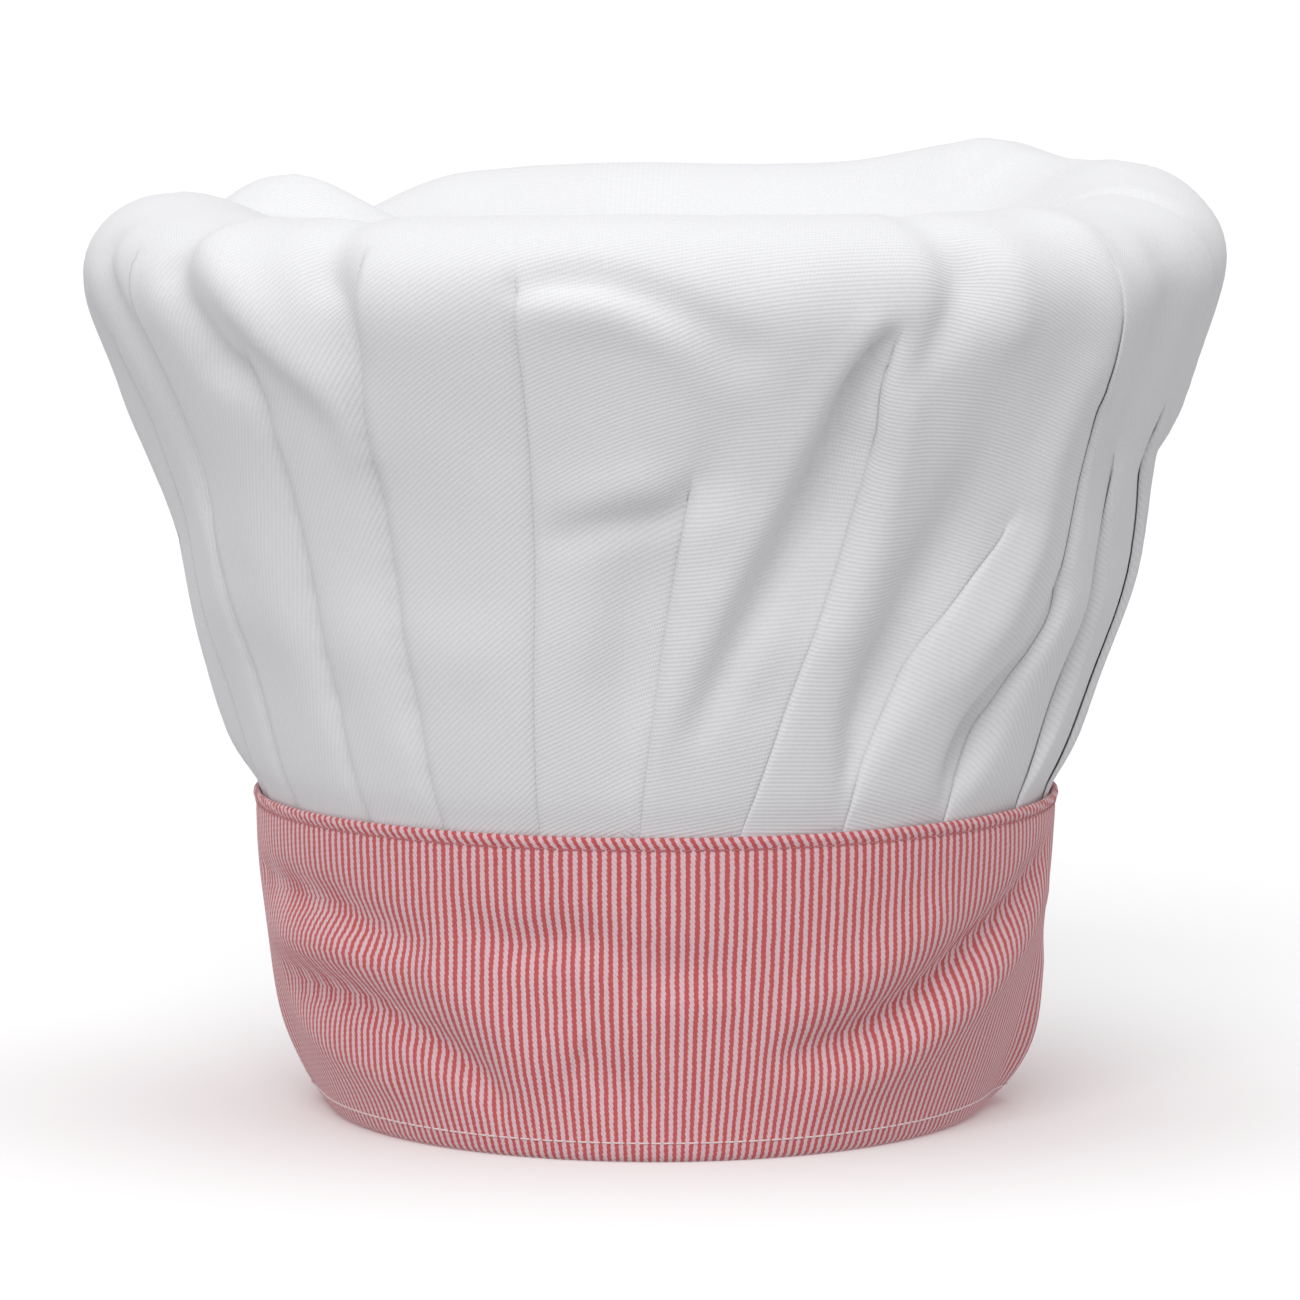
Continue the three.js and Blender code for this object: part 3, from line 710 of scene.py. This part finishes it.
def stitched_frame(name, at_phi, at_z, off):
    """A rectangle of stitches"""
    corners = [(0, 0), (1, 0), (1, 1), (0, 1), (0, 0)]
    sides = list(zip(corners, corners[1:]))
    phi = np.concatenate([np.linspace(at_phi[a], at_phi[b], 40) for (a, _), (b, _) in sides])
    z = np.concatenate([np.linspace(at_z[a], at_z[b], 40) for (_, a), (_, b) in sides])
    keep = np.concatenate([[True], (np.abs(np.diff(phi)) + np.abs(np.diff(z))) > 1e-6])
    return stitching(name, band_point(off, z[keep], phi[keep]), outwards(phi[keep]), pitch=2.6)


def bar_tack(name, phi, low, high, width):
    """A short block of close stitches, laid back and forth"""
    turns = round((high - low) / 0.34)
    z = np.linspace(low, high, turns + 1)
    side = np.where(np.arange(turns + 1) % 2, 0.5, -0.5) * width / BAND_RADIUS
    corners = np.stack([phi + np.degrees(side), z], -1)
    path = smooth_line(corners, turns * 7)
    lift = 0.22 + 0.12 * np.cos((path[:, 0] - phi) / np.degrees(width / BAND_RADIUS) * np.pi)
    return tubes(name, [band_point(lift, path[:, 1], path[:, 0])], [outwards(path[:, 0])], 0.2)


# ---------------------------------------------------------------- the closure
TAB_FREE_END, TAB_ROOT = 154.0, 189.4  # azimuths of its two ends
TAB_LOW, TAB_HIGH = 3.0, 73.0
TAB_CORNER = 10.0
TAB_RADIUS = 98.2  # of the arc that it lies on
TAB_THICKNESS = 2.3
TAB_FACE = 3.0  # the tab's inner face is this far outside the band's outer one, and
TAB_ROOT_FACE = -3.1  # here where it is sewn in, between the band's walls


def tab_inner(phi):
    """Offset of the tab's inner face"""
    return mix(TAB_FACE, TAB_ROOT_FACE, smoothstep(184.6, 189, phi))


def tab_columns():
    """Azimuth, thickness and corner inset of the tab at each of its columns"""
    run = np.concatenate([[0, 0.1, 0.3, 0.7, 1.3, 2.2, 3.4, 5, 7, 8.6, 10], np.linspace(12, 60.6, 46)])
    phi = TAB_FREE_END + np.degrees(run / TAB_RADIUS)
    thick = TAB_THICKNESS * np.sqrt(1 - (1 - np.clip(run / 1.3, 0.002, 1)) ** 2)
    inset = TAB_CORNER - np.sqrt(TAB_CORNER**2 - np.clip(TAB_CORNER - run, 0, TAB_CORNER) ** 2)
    return np.minimum(phi, TAB_ROOT), thick, inset


def build_tab_cloth():
    """A strip of striped cloth folded round its stiffener. Its seam is the middle of its inner face."""
    phi, thick, inset = tab_columns()
    turn = np.radians(np.linspace(0, 180, 7)[1:-1])
    middle, half = (TAB_LOW + TAB_HIGH) / 2, (TAB_HIGH - TAB_LOW) / 2
    edge = 0.985  # share of the half height where the fold at the tab's edge starts
    around = [(0, t) for t in np.linspace(0.0, edge, 14)]
    around += [((1 - math.cos(a)) / 2, 1 + 0.6 * math.sin(a) / half) for a in turn]
    around += [(1, t) for t in np.linspace(edge, -edge, 30)]
    around += [((1 + math.cos(a)) / 2, -1 - 0.6 * math.sin(a) / half) for a in turn]
    around += [(0, t) for t in np.linspace(-edge, 0.0, 14)]
    through_share, up = np.array(around).T[:, :, None]
    z = middle + up * (half - inset)[None, :]
    off = tab_inner(phi) + TAB_THICKNESS / 2 + (through_share - 0.5) * thick
    # a shallow groove, pressed in 2.5 mm inside the tab's edge
    pressed = np.exp(-((((np.abs(up) - 1) * (half - inset) + 2.5) / 0.9) ** 2))
    off = off - (through_share - 0.5) * 0.35 * pressed * np.clip(thick / TAB_THICKNESS, 0, 1)
    points = band_point(off, z, phi[None, :] + 0 * z)
    steps = np.abs(np.diff(up[:, 0] * half)) + np.abs(np.diff(through_share[:, 0])) * TAB_THICKNESS
    run = np.concatenate([[0], np.cumsum(steps)])
    return sheet_of("tab_cloth", points, np.radians(phi) * BAND_RADIUS, run[:, None])


def tape_field(at_phi, at_z, spacing, seed):
    """Points on a staggered grid over a tape, each moved a little at random: azimuth and height"""
    rng = random.Random(seed)
    found = []
    rows = int((at_z[1] - at_z[0]) / spacing)
    step = math.degrees(spacing * 1.1 / BAND_RADIUS)
    for row in range(rows + 1):
        z = at_z[0] + row * spacing
        phi = at_phi[0] + (row % 2) * step / 2
        while phi < at_phi[1]:
            found.append((phi + rng.uniform(-0.15, 0.15) * step, z + rng.uniform(-0.15, 0.15) * spacing))
            phi += step
    return found, rng


# from one loop or hook to the next, and the radius of its yarn
LOOP_SPACING, LOOP_YARN_RADIUS = 1.05, 0.085
HOOK_SPACING, HOOK_YARN_RADIUS = 1.5, 0.075


def build_loop_pile(at_phi, at_z, off):
    """Soft loops of fine yarn that stand on the tape, each leaning its own way"""
    found, rng = tape_field(at_phi, at_z, LOOP_SPACING, 11)
    lean = np.array([rng.uniform(0, math.pi) for _ in found])[:, None]
    size = np.array([rng.uniform(0.26, 0.36) for _ in found])[:, None]
    phi, z = np.array(found).T[:, :, None]
    angle = np.linspace(-0.6, math.pi + 0.6, 7)
    run, up = size * 1.2 * np.cos(angle), size * (np.sin(angle) + 0.55)
    aside = run * np.cos(lean) * math.degrees(1 / BAND_RADIUS)
    paths = band_point(off + up, z + run * np.sin(lean), phi + aside)
    across = unit(np.cross(paths[:, 3] - paths[:, 0], paths[:, -1] - paths[:, 0]))
    across = np.repeat(across[:, None], len(angle), axis=1)
    return tubes("loop_pile", paths, across, LOOP_YARN_RADIUS, sides=4)


def build_hooks(at_phi, at_z, off):
    """Rows of small stiff hooks that stand on the tape and point towards the band"""
    found, rng = tape_field(at_phi, at_z, HOOK_SPACING, 12)
    way = np.array([rng.choice((-1, 1)) for _ in found])[:, None]
    phi, z = np.array(found).T[:, :, None]
    angle = np.linspace(0, 1.25 * math.pi, 6)
    run = np.concatenate([[0, 0], 0.17 * (1 - np.cos(angle))]) * way
    down = np.concatenate([[0, 0.28], 0.36 + 0.17 * np.sin(angle)])
    paths = band_point(off - down, z + 0 * run, phi + run * math.degrees(1 / BAND_RADIUS))
    up = np.broadcast_to([0.0, 0.0, 1.0], paths.shape)
    return tubes("hook_field", paths, up, HOOK_YARN_RADIUS, sides=4)


# ---------------------------------------------------------------- the keyhole's binding and the care label
BIAS = 0.707  # the weave runs at 45 degrees to the strip
BINDING_SECTION = [
    (4.6, 0.55), (3.4, 0.78), (2.0, 0.85), (0.7, 0.85), (-0.2, 0.6), (-0.62, 0.05), (-0.7, -0.5),
    (-0.3, -1.1), (0.7, -1.35), (2.0, -1.3), (3.4, -1.2), (4.6, -1.0),
]


def keyhole_frame(edge):
    """The keyhole's edge as a smooth line, with directions out of the cloth and away from the opening"""
    line = smooth_line(edge, 90)
    along = unit(np.gradient(line, axis=0))
    out = outwards(180 + np.degrees(np.arcsin(-line[:, 0] / BAND_RADIUS)), 22)
    away = unit(np.cross(along, out))
    if away[len(line) // 2, 2] < 0:
        away = -away
    return line, out, away


def build_binding(edge):
    """A bias strip folded over the edge of the keyhole"""
    line, out, away = keyhole_frame(edge)
    section = np.array(BINDING_SECTION)
    points = line[None] + section[:, :1, None] * away[None] + section[:, 1:, None] * out[None]
    ripple = 0.07 * wobble(points, 2.2, 4)
    points = points + ripple[..., None] * out[None]
    run, around = distances(line), distances(section)[:, None]
    m = len(line) // 2
    facing = np.cross(points[1, m] - points[0, m], points[0, m + 1] - points[0, m]) @ out[m]
    across, up = (run + around) * BIAS, (run - around) * BIAS
    return sheet_of("keyhole_binding_cloth", points, across, up, 0.4, turned=facing >= 0)


def build_binding_stitches(edge):
    line, out, away = keyhole_frame(edge)
    return stitching("keyhole_binding_stitches", line + 3.3 * away + 0.72 * out, out, pitch=2.4, radius=0.2)


LABEL_AT = -155.0  # azimuth of its middle
LABEL_WIDTH = 18.0
LABEL_SECTION = [
    (91.9, 75.4), (91.6, 76.4), (91.0, 76.8), (90.5, 76.3), (90.35, 74.5), (90.4, 70), (90.2, 64),
    (90.3, 57), (90.1, 50), (90.25, 44), (89.9, 41.2),
]


def build_label():
    """A blank satin ribbon, caught in the seam at its top"""
    line = smooth_line(LABEL_SECTION, 40)
    aside = np.linspace(-LABEL_WIDTH / 2, LABEL_WIDTH / 2, 16)
    free = smoothstep(76, 41, line[:, 1])[:, None]
    curl = -0.7 * free * (2 * aside[None] / LABEL_WIDTH) ** 2 * smoothstep(60, 41, line[:, 1])[:, None]
    wave = 0.25 * free * np.sin(aside[None] / 4 + line[:, 1:] / 9)
    r = line[:, :1] + curl - np.abs(wave)
    along = np.array([math.cos(math.radians(LABEL_AT)), math.sin(math.radians(LABEL_AT)), 0])
    points = r[..., None] * outwards(LABEL_AT) + aside[None, :, None] * along
    points[..., 2] = line[:, 1:]
    return sheet_of("care_label_ribbon", points, aside, distances(line)[:, None], 0.3)


# ---------------------------------------------------------------- materials
class Graph:
    """One material, and short ways to make its nodes"""

    def __init__(self, name, roughness, sheen=0.0):
        self.material = bpy.data.materials.new(name)
        self.material.use_nodes = True
        self.nodes = self.material.node_tree.nodes
        self.links = self.material.node_tree.links
        self.shader = self.nodes["Principled BSDF"]
        self.shader.inputs["Roughness"].default_value = roughness
        self.shader.inputs["Sheen Weight"].default_value = sheen

    def put(self, socket, value):
        if isinstance(value, bpy.types.NodeSocket):
            self.links.new(value, socket)
        else:
            socket.default_value = value

    def node(self, kind, **inputs):
        """A new node with its inputs set or linked. In their names, _ stands for a space."""
        node = self.nodes.new("ShaderNode" + kind)
        for name, value in inputs.items():
            self.put(node.inputs[name.replace("_", " ")], value)
        return node

    def math(self, operation, a, b=0.0, c=0.0):
        node = self.nodes.new("ShaderNodeMath")
        node.operation = operation
        for socket, value in zip(node.inputs, (a, b, c)):
            self.put(socket, value)
        return node.outputs[0]

    def share(self, a, b, part=0.5):
        """part of a, and the rest of b"""
        return self.math("MULTIPLY_ADD", a, part, self.math("MULTIPLY", b, 1 - part))

    def sine(self, u, pitch, v=0.0, turn=0.0):
        """A wave from -1 to 1: one repeat for each pitch of u, and turn more radians for each metre of v"""
        lean = self.math("MULTIPLY", v, turn)
        return self.math("SINE", self.math("MULTIPLY_ADD", u, 2 * math.pi / pitch, lean))

    def ridges(self, *wave):
        """The same wave, from 0 to 1"""
        return self.math("MULTIPLY_ADD", self.sine(*wave), 0.5, 0.5)

    def noise(self, vector, scale, detail=2.0, roughness=0.5):
        node = self.node("TexNoise", Vector=vector, Scale=scale, Detail=detail, Roughness=roughness)
        return node.outputs["Fac"]

    def mix(self, factor, a, b):
        node = self.nodes.new("ShaderNodeMix")
        node.data_type = "RGBA"
        self.put(node.inputs["Factor"], factor)
        self.put(node.inputs[6], a)
        self.put(node.inputs[7], b)
        return node.outputs[2]

    def colour(self, factor, a, b):
        self.put(self.shader.inputs["Base Color"], self.mix(factor, a, b))

    def ramp(self, value, low, high):
        node = self.node("MapRange", Value=value, From_Min=low, From_Max=high)
        node.interpolation_type = "SMOOTHSTEP"
        return node.outputs[0]

    def flat(self):
        """The place on the flat cloth: as a vector, and its two coordinates in metres"""
        place_on = self.node("UVMap")
        place_on.uv_map = "flat"
        split = self.node("SeparateXYZ", Vector=place_on.outputs[0])
        return place_on.outputs[0], split.outputs[0], split.outputs[1]

    def bump(self, height, strength, distance):
        node = self.node("Bump", Strength=strength, Distance=distance, Height=height)
        self.put(self.shader.inputs["Normal"], node.outputs[0])


def twill(g, u, v, angle, pitch):
    """Height of a twill weave, 0 to 1: raised diagonal wales, each broken into single threads"""
    a = math.radians(angle)
    across = g.math("MULTIPLY_ADD", u, -math.sin(a), g.math("MULTIPLY", v, math.cos(a)))
    return g.share(g.ridges(u, pitch * 0.62), g.ridges(across, pitch), 0.3)


def white_twill():
    g = Graph("white_twill", 0.88, 0.15)
    uv, u, v = g.flat()
    weave = twill(g, u, v, 15, 0.00105)
    slub = g.noise(uv, 900, 3)
    soft = g.noise(uv, 25, 3)
    cloth = g.mix(g.share(weave, slub), (0.70, 0.705, 0.72, 1), (0.87, 0.87, 0.88, 1))
    g.colour(g.math("MULTIPLY", soft, 0.25), cloth, (0.80, 0.81, 0.835, 1))
    g.bump(g.math("MULTIPLY_ADD", slub, 0.35, weave), 0.4, 0.00025)
    return g.material


STRIPE = 0.0023  # from one red stripe to the next


def striped_twill():
    """Yarn-dyed stripes, their edges stepped by the weave"""
    g = Graph("striped_twill", 0.85, 0.2)
    uv, u, v = g.flat()
    weave = twill(g, u, v, 55, 0.0007)
    drift = g.math("MULTIPLY", g.math("SUBTRACT", g.noise(uv, 260, 2), 0.5), 0.0005)
    steps = g.math("MULTIPLY", g.math("SUBTRACT", weave, 0.5), 0.00028)
    place_u = g.math("ADD", g.math("ADD", u, drift), steps)
    red = g.ramp(g.sine(place_u, STRIPE), -0.35, 0.35)
    slub = g.noise(uv, 1100, 3)
    pale = g.mix(slub, (0.68, 0.44, 0.475, 1), (0.82, 0.605, 0.64, 1))
    deep = g.mix(slub, (0.50, 0.065, 0.07, 1), (0.63, 0.12, 0.125, 1))
    g.colour(red, pale, deep)
    g.bump(g.math("MULTIPLY_ADD", slub, 0.4, weave), 0.5, 0.0002)
    return g.material


def felt():
    """Bonded interlining: short fibres pressed together every way"""
    g = Graph("felt", 0.95)
    uv, _, _ = g.flat()
    fibre = g.noise(uv, 1800, 4, 0.7)
    cloud = g.noise(uv, 140, 3)
    g.colour(g.share(fibre, cloud, 0.6), (0.68, 0.67, 0.63, 1), (0.88, 0.87, 0.84, 1))
    g.bump(fibre, 0.6, 0.0002)
    return g.material


def thread(name, dark, light):
    """Two-ply sewing thread: a fine spiral round it"""
    g = Graph(name, 0.55, 0.3)
    uv, u, v = g.flat()
    ply = g.ridges(u, 0.0006, v, 4500.0)
    g.colour(g.share(ply, g.noise(uv, 700, 2)), dark, light)
    g.bump(ply, 0.6, 0.00008)
    return g.material


def nylon_tape(name, warm):
    """Plain woven nylon, over and under"""
    g = Graph(name, 0.5)
    uv, u, v = g.flat()
    pitch = 0.0009
    crossing = g.math("MULTIPLY", g.sine(u, pitch), g.sine(v, pitch))
    weave = g.math("MULTIPLY_ADD", crossing, 0.5, 0.5)
    shade = g.share(weave, g.noise(uv, 900, 3))
    g.colour(shade, (0.66, 0.66, 0.62 * warm, 1), (0.88, 0.88, 0.86 * warm, 1))
    g.bump(weave, 0.6, 0.0002)
    return g.material


def yarn(name, roughness, sheen):
    """The fine clear filament of hooks and loops"""
    g = Graph(name, roughness, sheen)
    uv, _, _ = g.flat()
    shade = g.noise(uv, 1500, 2)
    g.colour(shade, (0.74, 0.74, 0.71, 1), (0.9, 0.9, 0.88, 1))
    g.bump(shade, 0.3, 0.00005)
    return g.material


def satin():
    """Satin ribbon: long floats of weft over a fine warp"""
    g = Graph("label_satin", 0.36, 0.25)
    _, u, v = g.flat()
    tie = g.sine(u, 0.0011, v, 3900.0)
    weave = g.math("MULTIPLY_ADD", g.sine(v, 0.00032), 0.35, g.math("MULTIPLY_ADD", tie, 0.15, 0.5))
    g.colour(weave, (0.80, 0.80, 0.78, 1), (0.93, 0.93, 0.915, 1))
    g.bump(weave, 0.35, 0.00006)
    g.shader.inputs["Anisotropic"].default_value = 0.5
    return g.material


# ---------------------------------------------------------------- stage, light and camera
def build_stage():
    """A pale floor that curves up, far away, into a low wall all round"""
    bend = np.radians(np.linspace(0, 90, 19))
    curve = 2.0  # radius of that bend, in metres as the two lists are
    reach = np.concatenate([[0.5, 5.0], 12 + curve * np.sin(bend), [14.0]]) / MM
    height = np.concatenate([[0, 0], curve - curve * np.cos(bend), [2.5]]) / MM
    turn = np.radians(np.arange(0, 360, 5))
    rings = [[(r * np.cos(a), r * np.sin(a), z) for a in turn] for r, z in zip(reach, height)]
    count = len(turn)
    faces = flipped(grid_faces(len(rings), count, wrap=True)) + [tuple(range(count))]
    floor = mesh("floor", np.array(rings).reshape(-1, 3), faces)
    g = Graph("floor", 0.95)
    g.shader.inputs["Base Color"].default_value = (0.96, 0.96, 0.96, 1)
    floor.data.materials.append(g.material)
    floor.visible_diffuse = False  # so that the folds aren't lit from below


def soft_sun(name, place_at, strength, width, color=(1, 1, 1)):
    """A distant light from the direction of place_at. width, in degrees, softens its shadows."""
    data = bpy.data.lights.new(name, "SUN")
    data.energy = strength
    data.angle = math.radians(width)
    data.color = color
    lamp = bpy.data.objects.new(name, data)
    bpy.context.scene.collection.objects.link(lamp)
    lamp.rotation_euler = Vector(place_at).to_track_quat("Z", "Y").to_euler()


def build_light():
    world = bpy.data.worlds.new("studio")
    bpy.context.scene.world = world
    world.use_nodes = True
    background = world.node_tree.nodes["Background"].inputs
    background["Color"].default_value = (1.0, 0.985, 1.0, 1)
    background["Strength"].default_value = 0.54
    soft_sun("overhead", (-0.02, 0.0, 1.0), 1.2, 60, (0.985, 1.0, 0.985))
    soft_sun("front", (-0.2, -1.0, 0.7), 1.12, 36)
    bpy.context.scene.view_settings.view_transform = "Standard"


SENSOR = 36.0
PICTURE_WIDTH = 0.3118  # how much the picture takes in at the hat


def build_camera():
    camera = bpy.data.cameras.new("camera")
    eye = bpy.data.objects.new("camera", camera)
    bpy.context.scene.collection.objects.link(eye)
    target = Vector((-0.0014, 0, 0.109))
    eye.location = (target.x, -3.0, 0.464)
    eye.rotation_euler = (target - eye.location).to_track_quat("-Z", "Y").to_euler()
    camera.sensor_width = SENSOR
    camera.lens = SENSOR * (target - eye.location).length / PICTURE_WIDTH
    camera.clip_end = 50
    bpy.context.scene.camera = eye


# ---------------------------------------------------------------- building it all
# each look is a material and its slot
WHITE_TWILL = white_twill(), "white_twill"
STRIPED_TWILL = striped_twill(), "striped_twill"
FELT = felt(), "felt"
WHITE_THREAD = thread("white_thread", (0.74, 0.56, 0.56, 1), (0.92, 0.78, 0.78, 1)), "white_thread"
RED_THREAD = thread("red_thread", (0.42, 0.09, 0.10, 1), (0.64, 0.20, 0.21, 1)), "red_thread"
LOOP_TAPE = nylon_tape("loop_nylon", 1.0), "loop_nylon"
HOOK_TAPE = nylon_tape("hook_nylon", 0.97), "hook_nylon"
LOOP_YARN = yarn("loop_yarn", 0.6, 0.5), "loop_nylon"
HOOK_YARN = yarn("hook_yarn", 0.3, 0.0), "hook_nylon"
SATIN = satin(), "label_satin"


def finish_piece(piece, look, body, node):
    """Give a piece the material of its look and its body, and hide the CAD piece that it stands for"""
    material, slot = look
    piece.data.materials.append(material)
    if body:
        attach(piece, body)
    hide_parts(node)
    return piece


def make_crown():
    cloth, edge = build_crown()
    finish_piece(cloth, WHITE_TWILL, "root", "crown")
    binding = finish_piece(build_binding(edge), WHITE_TWILL, "root", "keyhole_binding")
    stitches = build_binding_stitches(edge)
    finish_piece(stitches, WHITE_THREAD, "root", "keyhole_binding_thread")


def make_band():
    cloth = finish_piece(build_band(), STRIPED_TWILL, "root", "headband")
    core = strip("headband_interlining", (-169.9, 183.2), (0.95, SEAM - 2.2), -1.1, CLOTH, 44, 500)
    finish_piece(core, FELT, "root", "headband_stiffener")
    lines = [
        ("top_edge", -0.16, SEAM - 2.6, 1, RED_THREAD),
        ("top_edge_bobbin", BAND_INNER, SEAM - 2.6, -1, WHITE_THREAD),
        ("hem", 0.0, 4.6, 1, WHITE_THREAD),
        ("hem_bobbin", BAND_INNER, 4.6, -1, WHITE_THREAD),
    ]
    for name, off, z, side, look in lines:
        line = stitched_round(name + "_stitches", off, z, side)
        finish_piece(line, look, "root", name + "_thread")
    phi = np.full(60, 190.5)
    seam = stitching("tab_seam_stitches", band_point(0.0, np.linspace(8, SEAM - 6, 60), phi), outwards(phi))
    finish_piece(seam, RED_THREAD, "root", "tab_seam_thread")
    for name, phi, low, high in (("bar_tack_left", 189.9, 68.6, 71.8), ("bar_tack_right", 175, 67, 71.6)):
        tack = bar_tack(name + "_stitches", phi, low, high, 1.6)
        finish_piece(tack, RED_THREAD, "root", name)


def make_loop_tape():
    base = strip("loop_tape_base", (156, 182), (14, 62), 0.7, 0.4)
    pile = build_loop_pile((157.8, 180.2), (17, 59), 0.66)
    thread_frame = stitched_frame("loop_tape_stitches", (156.9, 181.1), (15.5, 60.5), 0.7)
    finish_piece(base, LOOP_TAPE, "root", "loop_tape")
    finish_piece(pile, LOOP_YARN, "root", "loop_tape")
    finish_piece(thread_frame, WHITE_THREAD, "root", "loop_tape_thread")


def make_tab():
    cloth = finish_piece(build_tab_cloth(), STRIPED_TWILL, None, "closure_tab")
    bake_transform(cloth)
    height = TAB_LOW + 2.2, TAB_HIGH - 2.2
    core = strip("tab_interlining", (155.8, 184.2), height, TAB_FACE + 1.4, CLOTH)
    finish_piece(core, FELT, "tab", "closure_tab_stiffener")
    base = strip("hook_tape_base", (157.5, 180.5), (16, 60), 2.7, 0.4)
    hooks = build_hooks((159.3, 178.7), (19, 57), 2.32)
    outside = TAB_FACE + TAB_THICKNESS
    thread_frame = stitched_frame("hook_tape_stitches", (158.4, 179.6), (17.5, 58.5), outside)
    finish_piece(base, HOOK_TAPE, "tab", "hook_tape")
    finish_piece(hooks, HOOK_YARN, "tab", "hook_tape")
    finish_piece(thread_frame, WHITE_THREAD, "tab", "hook_tape_thread")


def make_label():
    ribbon = finish_piece(build_label(), SATIN, "label", "care_label")


build_stage()
build_light()
build_camera()
make_crown()
make_band()
make_loop_tape()
make_tab()
make_label()
